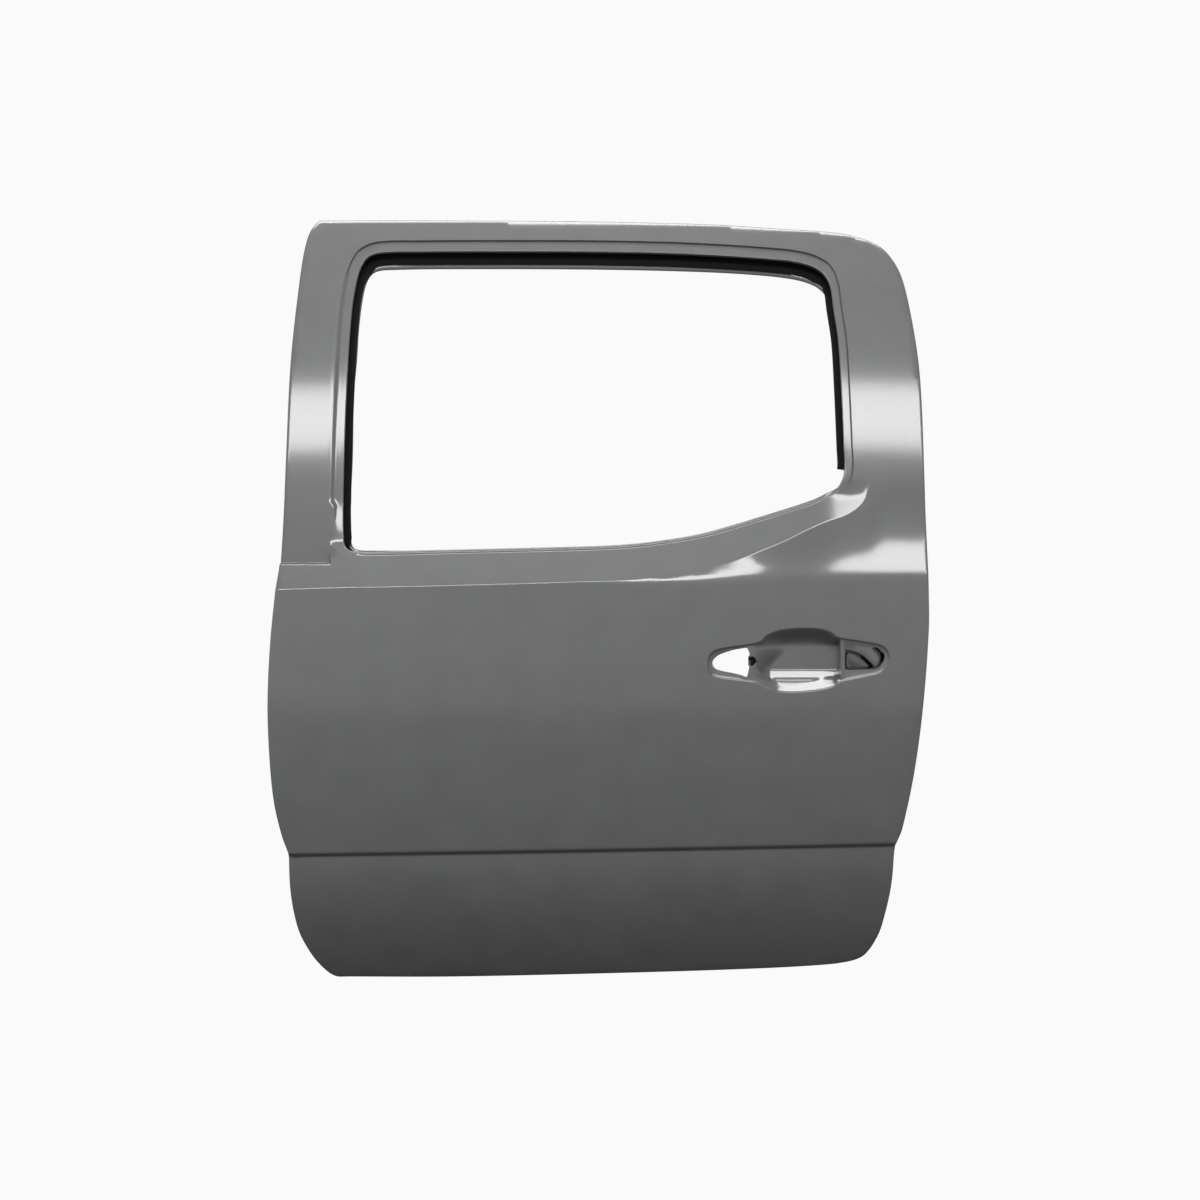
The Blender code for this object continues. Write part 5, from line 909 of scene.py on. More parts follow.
def butyl_mastic(name, colour):
    """Butyl mastic squeezed from a gun: matt, soft-edged and lightly wrinkled."""
    material, tree, shader = new_material(name, {"Roughness": 0.8, "IOR": PAINT_IOR})
    lumps = noise(tree, 4.0, 3.0)
    tone_colour(tree, shader, colour, stretched(tree, lumps, 0.75, 1.25))
    bump(tree, lumps, 0.5, WRINKLE_HEIGHT, shader.inputs["Normal"])
    return material


def painted_shade_black(name, colour):
    """Near-black matt colour that is painted shade, in the glass run channels and behind the handle notch: nearly
    no shine, slightly streaked along the channel.
    """
    material, tree, shader = new_material(name, {"IOR": 1.45, "Specular IOR Level": 0.12})
    streaks = noise(tree, 6.0, 3.0)
    tone_colour(tree, shader, colour, stretched(tree, streaks, 0.6, 1.5))
    tree.links.new(stretched(tree, streaks, 0.55, 0.85), shader.inputs["Roughness"])
    return material


def painted(name):
    """The material of that name, made when it is first asked for."""
    finish = bpy.context.scene.door_shell.finish
    make, colour = {
        "grey_electrocoat_outer": (electrocoat, finish.primer),
        "grey_electrocoat_inner": (electrocoat, finish.inner_primer),
        "grey_electrocoat_brace": (electrocoat, finish.brace_primer),
        "black_channel_paint": (painted_shade_black, finish.channel_paint),
        "cold_rolled_steel": (plain_steel, linear_colour("#6f7174")),
        "butyl_mastic": (butyl_mastic, linear_colour("#1d1d1c")),
        "pvc_seam_sealer": (butyl_mastic, linear_colour("#6a6a66")),
    }[name]
    return bpy.data.materials.get(name) or make(name, tuple(colour))


# Settings

def length_property(name, description, default, low, high):
    return FloatProperty(name=name, description=description, default=default, min=low, max=high,
                         subtype="DISTANCE", unit="LENGTH")


def number_property(name, description, default, high=1.0, low=0.0, subtype="NONE", unit="NONE"):
    return FloatProperty(name=name, description=description, default=default, min=low, max=high,
                         subtype=subtype, unit=unit)


def factor_property(name, description, default, high=1.0):
    return number_property(name, description, default, high, subtype="FACTOR")


def angle_property(name, description, degrees):
    return number_property(name, description, math.radians(degrees), 1.5, subtype="ANGLE", unit="ROTATION")


def place_property(name, description, default):
    return FloatVectorProperty(name=name, description=description, default=default, subtype="XYZ", unit="LENGTH")


def colour_property(name, description, code):
    return FloatVectorProperty(name=name, description=description, default=linear_colour(code),
                               subtype="COLOR", min=0.0, max=1.0)


class DoorSkinSettings(bpy.types.PropertyGroup):
    spacing: length_property("Mesh spacing", "Grid spacing of the outer panel's mesh", 0.009, 0.004, 0.05)
    window_radius: length_property("Window edge radius", "Bend radius where the skin turns in round the window",
                                   0.0014, 0.0005, 0.004)
    hole_radius: length_property("Handle hole radius", "Bend radius of the rims of the handle holes",
                                 0.0005, 0.0002, 0.003)


class DoorInnerSettings(bpy.types.PropertyGroup):
    spacing: length_property("Mesh spacing", "Grid spacing of the inner panel's mesh", 0.012, 0.005, 0.05)
    fillet: length_property("Press radius", "Reach of the rounding along each pressed bend", 0.0026, 0.001, 0.006)


class DoorChannelSettings(bpy.types.PropertyGroup):
    spacing: length_property("Station spacing", "Distance between sections of the glass run channels",
                             0.006, 0.003, 0.05)
    edge: length_property("Bend radius", "Bend radius of the folded channels", 0.0008, 0.0002, 0.002)


class DoorFinishSettings(bpy.types.PropertyGroup):
    primer: colour_property("Outer primer", "Colour of the electrocoat on the outer panel", "#5c5d5e")
    inner_primer: colour_property("Inner primer", "Colour of the electrocoat inside", "#565758")
    brace_primer: colour_property("Brace primer", "Colour of the electrocoat on the braces", "#4c4d4e")
    # Channel colour: painted shade, a near-black that stands in for the deep shade inside the glass run channels
    # and behind the handle notch.
    channel_paint: colour_property("Channel paint", "Colour of the near-black painted shade in the channels", "#101010")
    coat_roughness: factor_property("Film roughness", "Roughness of the film's reflections", 0.10)
    cloud_size: number_property("Cloud size", "Size of the cloudy tone patches, in millimetres", 55.0, 300.0, 5.0)
    cloud_strength: factor_property("Cloud strength", "Tone change of the cloudy patches", 0.05, 0.5)
    dust_size: number_property("Dust size", "Size of the dust speckle, in millimetres, coarser than real dust "
                               "so that it shows", 1.6, 10.0, 0.2)
    dust_strength: factor_property("Dust strength", "Tone change of the dust speckle", 0.07, 0.5)
    peel_size: number_property("Orange peel size", "Size of the orange peel, in millimetres", 3.0, 20.0, 0.5)
    peel_strength: factor_property("Orange peel strength", "Strength of the orange peel", 0.10)


class DoorStageSettings(bpy.types.PropertyGroup):
    floor_drop: length_property("Floor drop", "Distance from the door down to the floor", 0.36, 0.0, 2.0)
    box_distance: length_property("Softbox distance", "Distance from the door to the softbox", 4.0, 1.0, 10.0)
    box_low: angle_property("Softbox lower edge", "Elevation of the softbox's lower edge", 30.8)
    box_high: angle_property("Softbox upper edge", "Elevation of the softbox's upper edge", 37.9)
    box_width: length_property("Softbox width", "Width of the softbox", 4.6, 0.5, 10.0)
    box_radiance: number_property("Softbox radiance", "Brightness of the softbox, where 1 is white", 15.0, 100.0)
    ceiling_size: FloatVectorProperty(name="Ceiling panel size", description="Width and length of the light over "
                                      "the door", default=(4.0, 1.2), size=2, unit="LENGTH")
    ceiling_place: place_property("Ceiling panel place", "Place of the light over the door, in the door's plan",
                                  (0.3, -1.32, 5.0))
    ceiling_radiance: number_property("Ceiling radiance", "Brightness of the light over the door", 14.0, 100.0)
    fill_size: length_property("Fill size", "Edge length of the fill light at the front left", 1.0, 0.1, 10.0)
    fill_place: place_property("Fill place", "Place of the fill light, in the door's plan", (-0.70, -1.3, 0.85))
    fill_radiance: number_property("Fill radiance", "Brightness of the fill light", 1.9, 100.0)
    floor_near: colour_property("Floor near", "Colour of the floor below the door", "#2e2e2e")
    floor_far: colour_property("Floor far", "Colour of the floor away from the door", "#dcdcdc")
    backdrop: factor_property("Backdrop brightness", "Brightness of the backdrop seen by the camera", 0.955)


class DoorCameraSettings(bpy.types.PropertyGroup):
    place: place_property("Camera place", "Camera place in the door's plan", (0.486, -3.153, 0.5615))
    lens: number_property("Focal length", "Focal length on a 36 mm sensor", 65.0, 200.0, 20.0, "DISTANCE_CAMERA",
                          "CAMERA")


class DoorSettings(bpy.types.PropertyGroup):
    skin: PointerProperty(type=DoorSkinSettings)
    inner: PointerProperty(type=DoorInnerSettings)
    channels: PointerProperty(type=DoorChannelSettings)
    finish: PointerProperty(type=DoorFinishSettings)
    stage: PointerProperty(type=DoorStageSettings)
    camera: PointerProperty(type=DoorCameraSettings)


# Pieces

def level_line(height_of, start=-LINE_PAST, end=DOOR_WIDTH + LINE_PAST, spacing=LINE_SPACING):
    """A line along the door at the height that HEIGHT_OF gives for each X."""
    x = np.arange(start, end, spacing)
    return np.stack([x, np.broadcast_to(height_of(x), len(x))], axis=1)


def handle_loops(spacing, *outlines):
    """Loops of the handle seat, from their shares of its length and height."""
    return [even_loop(in_lengths(shares, HANDLE_LENGTH, HANDLE_HEIGHT) + HANDLE_CORNER, spacing)
            for shares in outlines]


def share_lines(first, second, shares):
    """Closed lines between two loops."""
    return [(mix(first, second, share), True) for share in shares]


class DOOR_OT_outer_panel(bpy.types.Operator):
    """Builds the outer panel with its hem, creases, window return and handle recess"""
    bl_idname = "door.outer_panel"
    bl_label = "Outer panel"

    def pocket_lines(self):
        """Mesh lines along the steps and the rear wall of the hand recess."""
        left, _, turn, wall = POCKET_SIDES
        lines = [((left, level), (turn, level)) for level, _ in POCKET_SILL[1:]]
        low, high = HANDLE_FLOOR[:, 1].min() + POCKET_LOW_CLEAR, HANDLE_FLOOR[:, 1].max() - POCKET_HIGH_CLEAR
        lines += [((x, low), (x, high)) for x in (turn - POCKET_EDGE, turn, mix(turn, wall, 0.25),
                                                  mix(turn, wall, 0.5), mix(turn, wall, 0.75), wall,
                                                  wall + POCKET_EDGE)]
        return [evenly(np.array(line), POCKET_GRID) for line in lines]

    def execute(self, context):
        needed("outer_panel")
        settings = context.scene.door_shell.skin
        hem = HEM_DROP / 2
        outline = offset_loop(OUTLINE, -hem)
        rims = handle_loops(HOLE_SPACING, HANDLE_FRONT_HOLE_SHARES, HANDLE_NOTCH_SHARES, HANDLE_REAR_HOLE_SHARES)
        holes = [offset_loop(WINDOW, settings.window_radius)]
        holes += [offset_loop(rim, settings.hole_radius) for rim in rims]
        chains = [(offset_loop(WINDOW, MOULDING_WIDTHS - MOULDING_STEPS * share), True)
                  for share in MOULDING_LINES]
        chains += [(offset_loop(HANDLE_SEAT, -HANDLE_SEAT_RUN * share), True) for share in SEAT_LINES]
        ledge = level_line(lambda x: LEDGE_HEIGHT, end=LEDGE_END_X + OUTLINE_SPACING, spacing=LEDGE_SPACING)
        rear = level_line(lambda x: SHOULDER_REAR_HEIGHT, DOOR_WIDTH * SHOULDER_END_SHARE)
        crease = evenly(CREASE, OUTLINE_SPACING)
        lines = self.pocket_lines()
        lines += [level_line(lambda x, drop=drop: rocker_line(x) - drop)
                  for drop in np.array(ROCKER_LINES) * ROCKER_RUN]
        lines += [crease + (0.0, rise) for rise in CREASE_LINES]
        lines += [ledge - (0.0, LEDGE_RUN * share) for share in LEDGE_LINES]
        lines += [rear + (0.0, rise) for rise in SHOULDER_LINES]
        chains += [(line, False) for line in lines]
        clear_of = chains + [(loop, True) for loop in [outline] + holes]
        points = grid_points(outline, holes, clear_of, settings.spacing)
        fine = grid_points(HANDLE_FLOOR, holes, clear_of, POCKET_GRID)
        fine = fine[(fine[:, 0] > POCKET_SIDES[0] - POCKET_LOW_CLEAR) & (fine[:, 0] < POCKET_SIDES[3] + 0.004)]
        points = np.concatenate([points[loop_distance(points, HANDLE_SEAT) > 0.002], fine])
        work, plan = plan_sheet(outline, holes, chains, points, lambda flat: skin_points(flat)[0])
        for chain in border_chains(work):
            flat = np.array([plan[vertex.index] for vertex in chain])
            width = np.ptp(flat[:, 0])
            away = outward_normals(flat)
            if width > 0.9 * DOOR_WIDTH:
                roll_edge(work, chain, flat, away, hem, 180.0, HEM_RETURN - hem, 6)
            elif width > 0.5 * DOOR_WIDTH:
                radius = settings.window_radius
                roll_edge(work, chain, flat, -away, radius, 90.0, WINDOW_RETURN - radius, 4)
            else:
                roll_edge(work, chain, flat, -away, settings.hole_radius, 90.0, settings.hole_radius, 3)
        piece = thicken(finish_mesh("outer_skin", work, "grey_electrocoat_outer", SKIN_SHARP), SKIN_GAUGE)
        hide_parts("outer_panel")
        return {"FINISHED"}


def service_holes():
    """Plan loops of the inner panel's openings that have a pressed rim."""
    sides = [upright(RIB_X + side * SERVICE_REACH, SERVICE_SHARES) for side in (-1, 1)]
    front = np.concatenate([in_lengths(FRONT_SERVICE_SHARES), sides[0][::-1]])
    rear = np.concatenate([sides[1], in_lengths(REAR_SERVICE_SHARES)])
    holes = [rounded_loop(corners, SERVICE_HOLE_RADIUS)
             for corners in (front, rear, in_lengths(LOWER_SERVICE_SHARES))]
    return holes + [circle_loop(SPEAKER_CENTRE, SPEAKER_RADIUS, 96)]


def nut_places():
    beside = [(RIB_X + side * (RIB_WIDTH + NUT_LAND) / 2, up * DOOR_HEIGHT) for side, up in RIB_NUT_SHARES]
    return np.concatenate([in_lengths(NUT_SHARES), beside])


class DOOR_OT_inner_panel(bpy.types.Operator):
    """Builds the inner panel with its flange, drafted wall, seal seat, ribs and service holes"""
    bl_idname = "door.inner_panel"
    bl_label = "Inner panel"

    def execute(self, context):
        needed("inner_panel")
        settings = context.scene.door_shell.inner
        fillet = settings.fillet
        rims = service_holes()
        rim_feet = [offset_loop(loop, HOLE_RIM_WIDTH) for loop in rims]
        rim_tops = [offset_loop(loop, HOLE_RIM_WIDTH + HOLE_RIM_RUN) for loop in rims]
        rib = rounded_loop(np.concatenate([upright(RIB_X - RIB_WIDTH / 2, RIB_SHARES),
                                           upright(RIB_X + RIB_WIDTH / 2, RIB_SHARES[::-1])]), RIB_RADIUS)
        rib_top = offset_loop(rib, -RIB_RUN)
        small = [circle_loop(centre, radius, 20)
                 for centres, radius in ((in_lengths(CLIP_HOLE_SHARES), CLIP_HOLE_RADIUS),
                                         (nut_places(), NUT_HOLE_RADIUS)) for centre in centres]

        def seal_seat(points):
            x, z = points.T
            return np.stack([x, inner_depth(x, z) - SEAL_SEAT_DROP, z], axis=1)

        def window_flange(points):
            x, z = points.T
            setback = BELT_SETBACK * (1.0 - ramp(z, BELT_SETBACK_LOW, BELT_SETBACK_HIGH))
            return np.stack([x, lean_depth(x, z) + CHANNEL_BACK + SHEET_GAP + setback, z], axis=1)

        def main_plane(points):
            x, z = points.T
            depth = inner_depth(x, z) + RIB_HEIGHT * ease(between_loops(points, rib, rib_top))
            for top, foot in zip(rim_tops, rim_feet):
                depth -= HOLE_RIM_DEPTH * ease(between_loops(points, top, foot))
            return np.stack([x, depth, z], axis=1)

        steps = ((WALL_FOOT, WALL_TOP, seal_seat), (SEAT_EDGE, PLANE_EDGE, main_plane),
                 (WINDOW_WALL, WINDOW_FLANGE, window_flange))

        def place(points):
            places = skin_points(points, FLANGE_OFFSET, False)[0]
            for outer, inner, after in steps:
                share = between_loops(points, outer, inner)
                touched = share > 0.0
                places[touched] = mix(places[touched], after(points[touched]), share[touched][:, None])
            return places

        bends = [WALL_FOOT, WALL_TOP, SEAT_EDGE, PLANE_EDGE, WINDOW_WALL, WINDOW_FLANGE]
        chains = [(loop, True) for loop in bends]
        chains += share_lines(WALL_FOOT, WALL_TOP, (0.05, 0.5, 0.95))
        chains += share_lines(SEAT_EDGE, PLANE_EDGE, (0.14, 0.86))
        chains += share_lines(WINDOW_WALL, WINDOW_FLANGE, (0.12, 0.88))
        chains += [(offset_loop(bend, side * fillet), True) for bend, side in zip(bends, (1, -1) * 3)]
        for foot, top in [(rib, rib_top)] + list(zip(rim_feet, rim_tops)):
            chains += share_lines(foot, top, PRESSED_LINES)
        outline = offset_loop(OUTLINE, -SKIN_GAUGE - SHEET_GAP)
        holes = [INNER_WINDOW] + rims + small
        clear_of = chains + [(loop, True) for loop in [outline] + holes]
        points = grid_points(outline, holes, clear_of, settings.spacing)
        work, plan = plan_sheet(outline, holes, chains, points, place)
        for bend in bends:
            on_bend = np.flatnonzero(loop_distance(plan, bend) < ON_LINE)
            work.verts.ensure_lookup_table()
            bent = [work.verts[index] for index in on_bend]
            for _ in range(3):
                bmesh.ops.smooth_vert(work, verts=bent, factor=0.35, use_axis_x=True, use_axis_y=True,
                                      use_axis_z=True)
        piece = thicken(finish_mesh("inner_pressing", work, "grey_electrocoat_inner", PRESSING_SHARP), PANEL_GAUGE)
        for cutter in wall_cutters():
            cut = piece.modifiers.new("cut " + cutter.name, "BOOLEAN")
            cut.object = cutter
        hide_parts("inner_panel")
        return {"FINISHED"}


def wall_cutters():
    """Hidden cutters for the holes in the front and rear walls."""
    cutters = []
    reach = 0.040  # the length of each cutter through its wall

    def drill(name, x, depth, heights, radius):
        work = bmesh.new()
        for height in heights:
            prism(work, x, circle_loop((depth, height), radius, 32), reach)
        cutters.append(hidden(name, work))

    def slot(name, x, depth, height, size):
        work = bmesh.new()
        half = np.array(size) / 2
        corners = np.array([(-half[0], -half[1]), (half[0], -half[1]), (half[0], half[1]), (-half[0], half[1])])
        prism(work, x, rounded_loop(corners + (depth, height), min(size) * 0.25), reach)
        cutters.append(hidden(name, work))

    hinge_x, latch_x = hinge_wall_x(HINGE_MID_DEPTH), latch_wall_x(LATCH_DEPTH)
    for name, height in (("upper", UPPER_HINGE_Z), ("lower", LOWER_HINGE_Z)):
        drill(name + " hinge bolts", hinge_x, HINGE_MID_DEPTH,
              (height - HINGE_BOLT_PITCH / 2, height + HINGE_BOLT_PITCH / 2), HINGE_BOLT_RADIUS)
    drill("harness hole", HINGE_WALL_X, HARNESS_DEPTH, (HARNESS_Z,), HARNESS_RADIUS)
    drill("latch bolts", latch_x, LATCH_DEPTH, (LATCH_Z - LATCH_BOLT_RISE, LATCH_Z + LATCH_BOLT_RISE),
          LATCH_BOLT_RADIUS)
    slot("strap slot", hinge_x, HINGE_MID_DEPTH, STRAP_Z, STRAP_SLOT)
    slot("latch mouth", latch_x, LATCH_DEPTH, LATCH_Z, LATCH_SLOT)
    return cutters


def prism(work, x, ring, length):
    """A closed prism along X over a ring of (depth, height) points."""
    close_rings(work, [[work.verts.new(Vector((x + side * length / 2, depth, height)) + ORIGIN)
                        for depth, height in ring] for side in (-1, 1)])


def hidden(name, work):
    mesh = bpy.data.meshes.new(name)
    work.to_mesh(mesh)
    work.free()
    cutter = add_object(name, mesh)
    cutter.hide_render = True
    cutter.display_type = "WIRE"
    return cutter


def channel_section(lip, bead):
    """The U section of a glass run channel as (across, deep) from the edge of the skin."""
    tip, back, face, deep, gauge = CHANNEL_OUTER_SETBACK, CHANNEL_BACK, CHANNEL_FACE, CHANNEL_REACH, PANEL_GAUGE
    if bead:
        lip_end = [(-lip, back - gauge - bead), (gauge - lip, back - gauge - bead)]
    else:
        lip_end = [(-lip, back - gauge)]
    outside = [(tip, face), (deep, face), (deep, back), (-lip, back)]
    inner = [(gauge - lip, back - gauge), (deep - gauge, back - gauge), (deep - gauge, face + gauge),
             (tip, face + gauge)]
    return outside + lip_end + inner


def run_between(curve, start, end):
    """The stretch of a curve between two lengths along it."""
    lengths = lengths_along(curve)
    ends = points_at(curve, lengths, (start, end))
    return np.concatenate([ends[:1], curve[(lengths > start) & (lengths < end)], ends[1:]])


def length_to(curve, reached):
    """Length along a curve to its first point for which REACHED holds."""
    return lengths_along(curve)[np.flatnonzero(reached)[0]]


class DOOR_OT_run_channels(bpy.types.Operator):
    """Builds the front, header and rear glass run channels"""
    bl_idname = "door.run_channels"
    bl_label = "Glass run channels"

    def execute(self, context):
        needed("front_run_channel", "header_run_channel", "rear_run_channel")
        settings = context.scene.door_shell.channels
        window = smooth_loop_curve(in_lengths(WINDOW_SHARES))
        outward = outward_normals(window[:-1])
        front_end = length_to(window, window[:, 0] > FRONT_JOINT_X)
        rear_start = length_to(window, window[:, 0] > REAR_JOINT_X)
        passed = np.arange(len(window)) > np.argmax(window[:, 0] > REAR_JOINT_X)
        rear_end = length_to(window, passed & (window[:, 1] < REAR_CHANNEL_FOOT))
        foot = [(window[0, 0], FRONT_CHANNEL_FOOT)]
        runs = (("front_run_channel", np.concatenate([foot, run_between(window, 0.0, front_end)]), 0.0),
                ("header_run_channel", run_between(window, front_end + CHANNEL_END_GAP, rear_start), HEADER_BEAD),
                ("rear_run_channel", run_between(window, rear_start + CHANNEL_END_GAP, rear_end), 0.0))
        for node, run, bead in runs:
            path = evenly(run, settings.spacing)
            nearest = np.argmin(np.linalg.norm(path[:, None, :] - window[:-1], axis=2), axis=1)
            work = bmesh.new()
            rings = []
            for point, side, lip in zip(path, outward[nearest], side_widths(path, CHANNEL_SIDES)):
                ring = []
                for across, deep in channel_section(lip, bead):
                    x, z = point + side * across
                    ring.append(work.verts.new((x, lean_depth(x, z) + deep, z)))
                rings.append(ring)
            close_rings(work, rings)
            # The channels are coloured near-black as painted shade for the shadow inside them.
            piece = finish_mesh(node + "_folded", work, "black_channel_paint", CHANNEL_SHARP)
            round_edges(piece, settings.edge * 0.5, 3)
            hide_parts(node)
        return {"FINISHED"}


def round_edges(piece, width, segments):
    bevel = piece.modifiers.new("rounded edges", "BEVEL")
    bevel.width = width
    bevel.segments = segments
    bevel.limit_method = "ANGLE"
    bevel.angle_limit = math.radians(BEVEL_SHARP)
    bevel.harden_normals = True


class DOOR_OT_braces(bpy.types.Operator):
    """Gives the reinforcements, beam, brackets, nuts and mastic pads their finishes and rounded edges"""
    bl_idname = "door.braces"
    bl_label = "Reinforcements"

    def execute(self, context):
        needed("impact_beam", "hinge_reinforcement")
        for name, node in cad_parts.items():
            if node.hide_render:
                continue
            if name.startswith("mastic_pad"):
                finish, width = "butyl_mastic", MASTIC_BEVEL
            elif name.startswith("weld_nut") or name.endswith("tapping_plate"):
                finish, width = "cold_rolled_steel", STEEL_BEVEL
            else:
                finish, width = "grey_electrocoat_brace", BRACE_BEVEL
            node.data.materials.clear()
            node.data.materials.append(painted(finish))
            node.data.shade_smooth()
            node.data.set_sharp_from_angle(angle=math.radians(BRACE_SHARP))
            round_edges(node, width, 2)
        return {"FINISHED"}


class DOOR_OT_seam_sealer(bpy.types.Operator):
    """Lays the bead of seam sealer along the hem inside the door"""
    bl_idname = "door.seam_sealer"
    bl_label = "Seam sealer"

    def execute(self, context):
        needed("outer_panel", "inner_panel")
        centre = offset_loop(OUTLINE, -HEM_RETURN - SEALER_SETBACK)
        outward = outward_normals(centre)
        station = np.arange(len(centre))
        wobble = 1.0 + 0.10 * np.sin(station * 1.7) + 0.07 * np.sin(station * 0.61)
        work = bmesh.new()
        rows = []
        for angle in np.linspace(0.0, math.pi, SEALER_SIDES):
            points = centre + outward * (math.cos(angle) * SEALER_WIDTH / 2 * wobble)[:, None]
            base, inward = skin_points(points, HEM_DROP - SEALER_SINK, False)
            rows.append(base + inward * (SEALER_RISE + SEALER_HEIGHT * math.sin(angle) * wobble)[:, None])
        rings = [[work.verts.new(row[index]) for row in rows] for index in station]
        join_rings(work, rings[-1:] + rings)
        bmesh.ops.recalc_face_normals(work, faces=work.faces)
        piece = finish_mesh("hem_seam_sealer", work, "pvc_seam_sealer", SEALER_SHARP)
        return {"FINISHED"}


def pressed_nose(name, loop, setback, crown_rise, material_name):
    """A closed pressed nose behind the handle seat, with rounded shoulders and a slightly crowned face."""
    middle = loop[:, 0].mean()
    half = np.ptp(loop[:, 0]) / 2
    work = bmesh.new()
    rings = []
    for inset, back in NOSE_PROFILE:
        ring = offset_loop(loop, inset)
        crown = crown_rise * ((ring[:, 0] - middle) / half) ** 2 if back < LOCK_BOSS_LENGTH else 0.0
        depth = skin_depth(ring, False) + HANDLE_SEAT_DEPTH + setback + back + crown
        rings.append([work.verts.new(place) for place in np.stack([ring[:, 0], depth, ring[:, 1]], axis=1)])
    close_rings(work, rings)
    return finish_mesh(name, work, material_name, NOSE_SHARP)


class DOOR_OT_lock_boss(bpy.types.Operator):
    """Adds the lock bracket's nose that shows through the rear opening, and a near-black plate of painted shade
    behind the notch of the handle seat
    """
    bl_idname = "door.lock_boss"
    bl_label = "Lock nose and notch shade"

    def execute(self, context):
        needed("outer_panel", "lock_cylinder_bracket")
        boss, notch = handle_loops(NOSE_SPACING, LOCK_BOSS_SHARES, HANDLE_NOTCH_SHARES)
        nose = pressed_nose("lock_bracket_nose", boss, LOCK_BOSS_DEPTH, LOCK_BOSS_CROWN, "grey_electrocoat_brace")
        # A near-black plate behind the notch: painted shade for the dark gap seen through it.
        stop = pressed_nose("notch_painted_shade", offset_loop(notch, NOTCH_SHADE_MARGIN), NOTCH_SHADE_DEPTH, 0.0,
                            "black_channel_paint")
        for piece in (nose, stop):
            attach(piece, "root")
        return {"FINISHED"}


def area_light(name, size, radiance, place):
    """An area light of a width and a height that glows with RADIANCE, facing down."""
    data = bpy.data.lights.new(name, "AREA")
    data.shape = "RECTANGLE"
    data.size, data.size_y = size
    data.energy = radiance * math.pi * data.size * data.size_y
    light = add_object(name, data)
    light.location = place
    return light


def floor_paint(settings):
    """Matt paint, dark under the door and pale away from it, that the camera sees as the backdrop."""
    paint = bpy.data.materials.new("matt_studio_paint")
    paint.use_nodes = True
    tree = paint.node_tree
    tree.nodes.remove(tree.nodes["Principled BSDF"])
    place = add_node(tree, "ShaderNodeNewGeometry").outputs["Position"]
    away = add_node(tree, "ShaderNodeVectorMath", {"operation": "LENGTH", 0: place}).outputs["Value"]
    shade = add_node(tree, "ShaderNodeValToRGB", {"Fac": stretched(tree, away, 0.0, 1.0, *FLOOR_FADE)})
    for stop, colour in zip(shade.color_ramp.elements, (settings.floor_near, settings.floor_far)):
        stop.color = (*colour, 1.0)
    matt = add_node(tree, "ShaderNodeBsdfDiffuse", {"Color": shade.outputs["Color"]})
    glow = add_node(tree, "ShaderNodeEmission", {"Color": WHITE, "Strength": settings.backdrop})
    seen = add_node(tree, "ShaderNodeLightPath").outputs["Is Camera Ray"]
    both = add_node(tree, "ShaderNodeMixShader",
                    {"Fac": seen, 1: matt.outputs["BSDF"], 2: glow.outputs["Emission"]})
    tree.links.new(both.outputs["Shader"], tree.nodes["Material Output"].inputs["Surface"])
    return paint


def studio_room(settings):
    """A world that is pale low down and darker overhead, and even where the camera sees it."""
    world = bpy.data.worlds.new("studio_room")
    world.use_nodes = True
    tree = world.node_tree
    background = tree.nodes["Background"]
    background.inputs["Color"].default_value = WHITE
    direction = add_node(tree, "ShaderNodeTexCoord").outputs["Generated"]
    height = add_node(tree, "ShaderNodeSeparateXYZ", {"Vector": direction}).outputs["Z"]
    climb = add_node(tree, "ShaderNodeValToRGB", {"Fac": height})
    stops = climb.color_ramp.elements
    added = [stops.new(place) for place, _ in ROOM_LEVELS[1:-1]]
    for stop, (place, level) in zip([stops[0], *added, stops[-1]], ROOM_LEVELS):
        stop.position = place
        stop.color = (level, level, level, 1.0)
    camera_ray = add_node(tree, "ShaderNodeLightPath").outputs["Is Camera Ray"]
    seen = add_node(tree, "ShaderNodeMix", {"data_type": "FLOAT", 0: camera_ray, 2: climb.outputs["Color"],
                                            3: settings.backdrop})
    tree.links.new(seen.outputs[0], background.inputs["Strength"])
    return world


class DOOR_OT_stage(bpy.types.Operator):
    """Sets up the pale floor, the even backdrop, the softbox and the two other lights"""
    bl_idname = "door.stage"
    bl_label = "Studio"

    def execute(self, context):
        needed("outer_panel")
        settings = context.scene.door_shell.stage
        context.scene.view_settings.view_transform = "Standard"
        height = CAD_BOX[0].z - settings.floor_drop
        mesh = bpy.data.meshes.new("studio_floor")
        corners = [(x * FLOOR_REACH, y * FLOOR_REACH, height) for x, y in ((-1, -1), (1, -1), (1, 1), (-1, 1))]
        mesh.from_pydata(corners, [], [(0, 1, 2, 3)])
        floor = add_object("studio_floor", mesh)
        mesh.materials.append(floor_paint(settings))
        context.scene.world = studio_room(settings)

        aim = ORIGIN + Vector(LIGHT_AIM)
        low, high = (aim.z + settings.box_distance * math.tan(edge)
                     for edge in (settings.box_low, settings.box_high))
        softbox = area_light("softbox", (settings.box_width, high - low), settings.box_radiance,
                             (aim.x, aim.y - settings.box_distance, (low + high) / 2))
        softbox.rotation_euler = (math.radians(90.0), 0.0, 0.0)
        ceiling = area_light("ceiling_panel", settings.ceiling_size, settings.ceiling_radiance,
                             ORIGIN + Vector(settings.ceiling_place))
        ceiling.visible_diffuse = False
        fill = area_light("front_left_fill", (settings.fill_size, settings.fill_size), settings.fill_radiance,
                          ORIGIN + Vector(settings.fill_place))
        fill.rotation_euler = (aim - fill.location).to_track_quat("-Z", "Y").to_euler()
        fill.visible_glossy = False
        return {"FINISHED"}


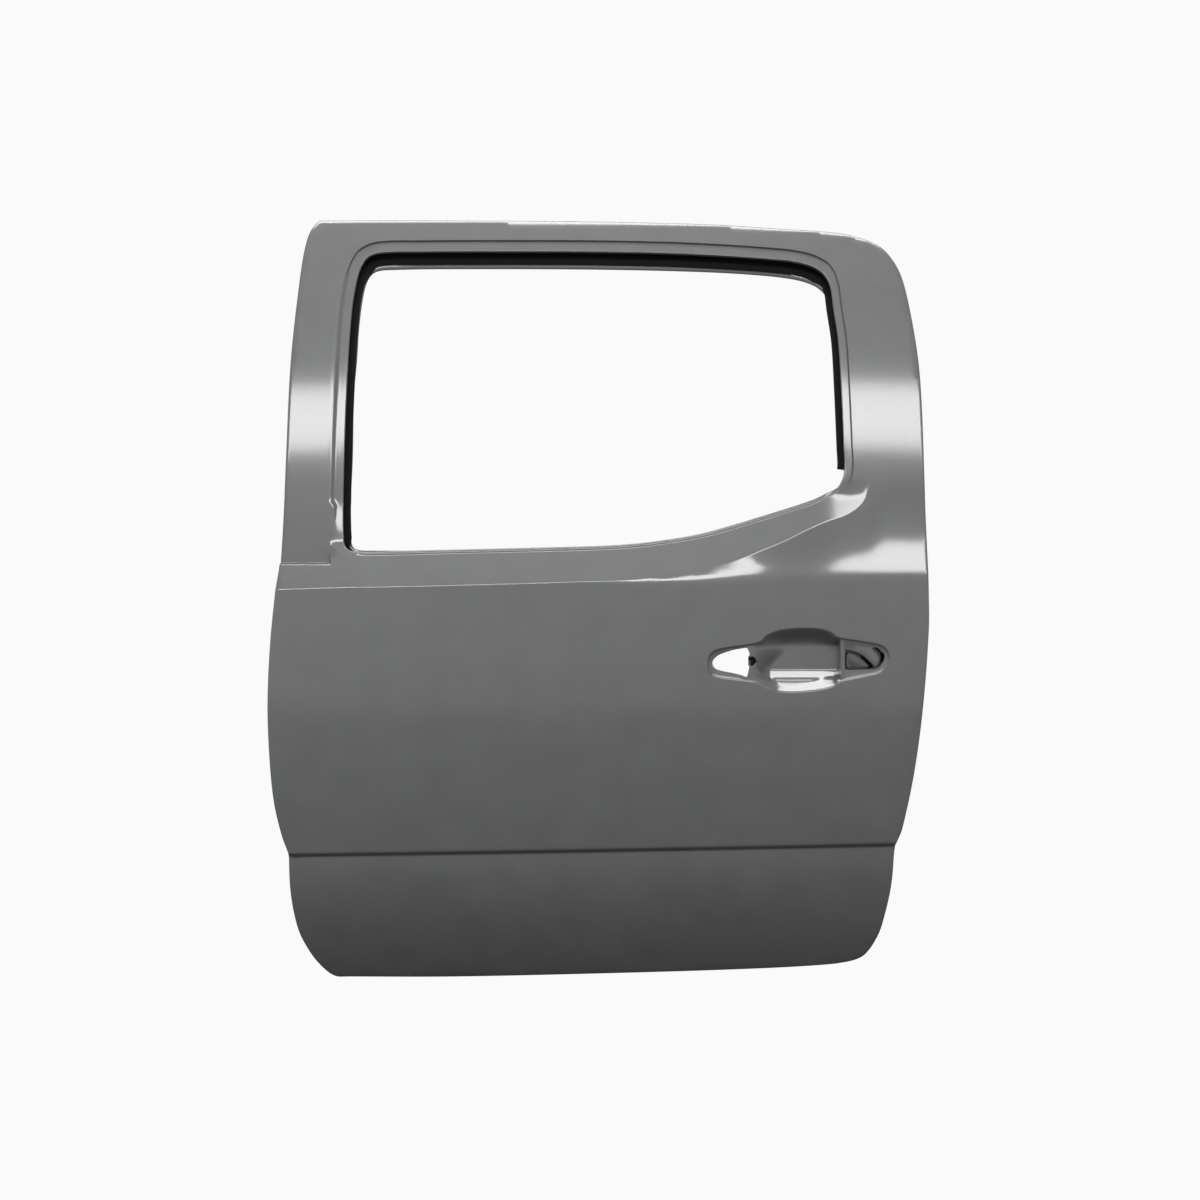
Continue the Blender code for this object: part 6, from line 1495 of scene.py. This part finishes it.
class DOOR_OT_camera(bpy.types.Operator):
    """Places the camera at the photograph's viewing angle"""
    bl_idname = "door.camera"
    bl_label = "Camera"

    def execute(self, context):
        needed("outer_panel")
        settings = context.scene.door_shell.camera
        data = bpy.data.cameras.new("studio_camera")
        data.lens = settings.lens
        data.sensor_width = SENSOR_WIDTH
        camera = add_object("studio_camera", data)
        camera.location = ORIGIN + Vector(settings.place)
        camera.rotation_euler = (math.radians(90.0), 0.0, 0.0)
        context.scene.camera = camera
        return {"FINISHED"}


class DOOR_PT_panel(bpy.types.Panel):
    """Lists the door shell's settings and its building steps"""
    bl_idname = "DOOR_PT_panel"
    bl_label = "Door Shell"
    bl_space_type = "VIEW_3D"
    bl_region_type = "UI"
    bl_category = "Door Shell"

    def draw(self, context):
        settings = context.scene.door_shell
        for group, operators in ((settings.camera, (DOOR_OT_camera,)), (settings.skin, (DOOR_OT_outer_panel,)),
                                 (settings.inner, (DOOR_OT_inner_panel,)),
                                 (settings.channels, (DOOR_OT_run_channels,)),
                                 (settings.finish, (DOOR_OT_seam_sealer, DOOR_OT_lock_boss, DOOR_OT_braces)),
                                 (settings.stage, (DOOR_OT_stage,))):
            box = self.layout.box()
            for key in group.__annotations__:
                box.prop(group, key)
            for operator in operators:
                box.operator(operator.bl_idname)


CLASSES = (DoorSkinSettings, DoorInnerSettings, DoorChannelSettings, DoorFinishSettings, DoorStageSettings,
           DoorCameraSettings, DoorSettings, DOOR_OT_camera, DOOR_OT_outer_panel, DOOR_OT_inner_panel,
           DOOR_OT_run_channels, DOOR_OT_seam_sealer, DOOR_OT_lock_boss, DOOR_OT_braces, DOOR_OT_stage,
           DOOR_PT_panel)


def register():
    for cls in CLASSES:
        bpy.utils.register_class(cls)
    bpy.types.Scene.door_shell = PointerProperty(type=DoorSettings)


def unregister():
    del bpy.types.Scene.door_shell
    for cls in reversed(CLASSES):
        bpy.utils.unregister_class(cls)


def main():
    """Builds the whole scene."""
    register()
    bpy.ops.door.camera()
    bpy.ops.door.outer_panel()
    bpy.ops.door.inner_panel()
    bpy.ops.door.run_channels()
    bpy.ops.door.seam_sealer()
    bpy.ops.door.lock_boss()
    bpy.ops.door.braces()
    bpy.ops.door.stage()


if __name__ == "__main__":
    main()
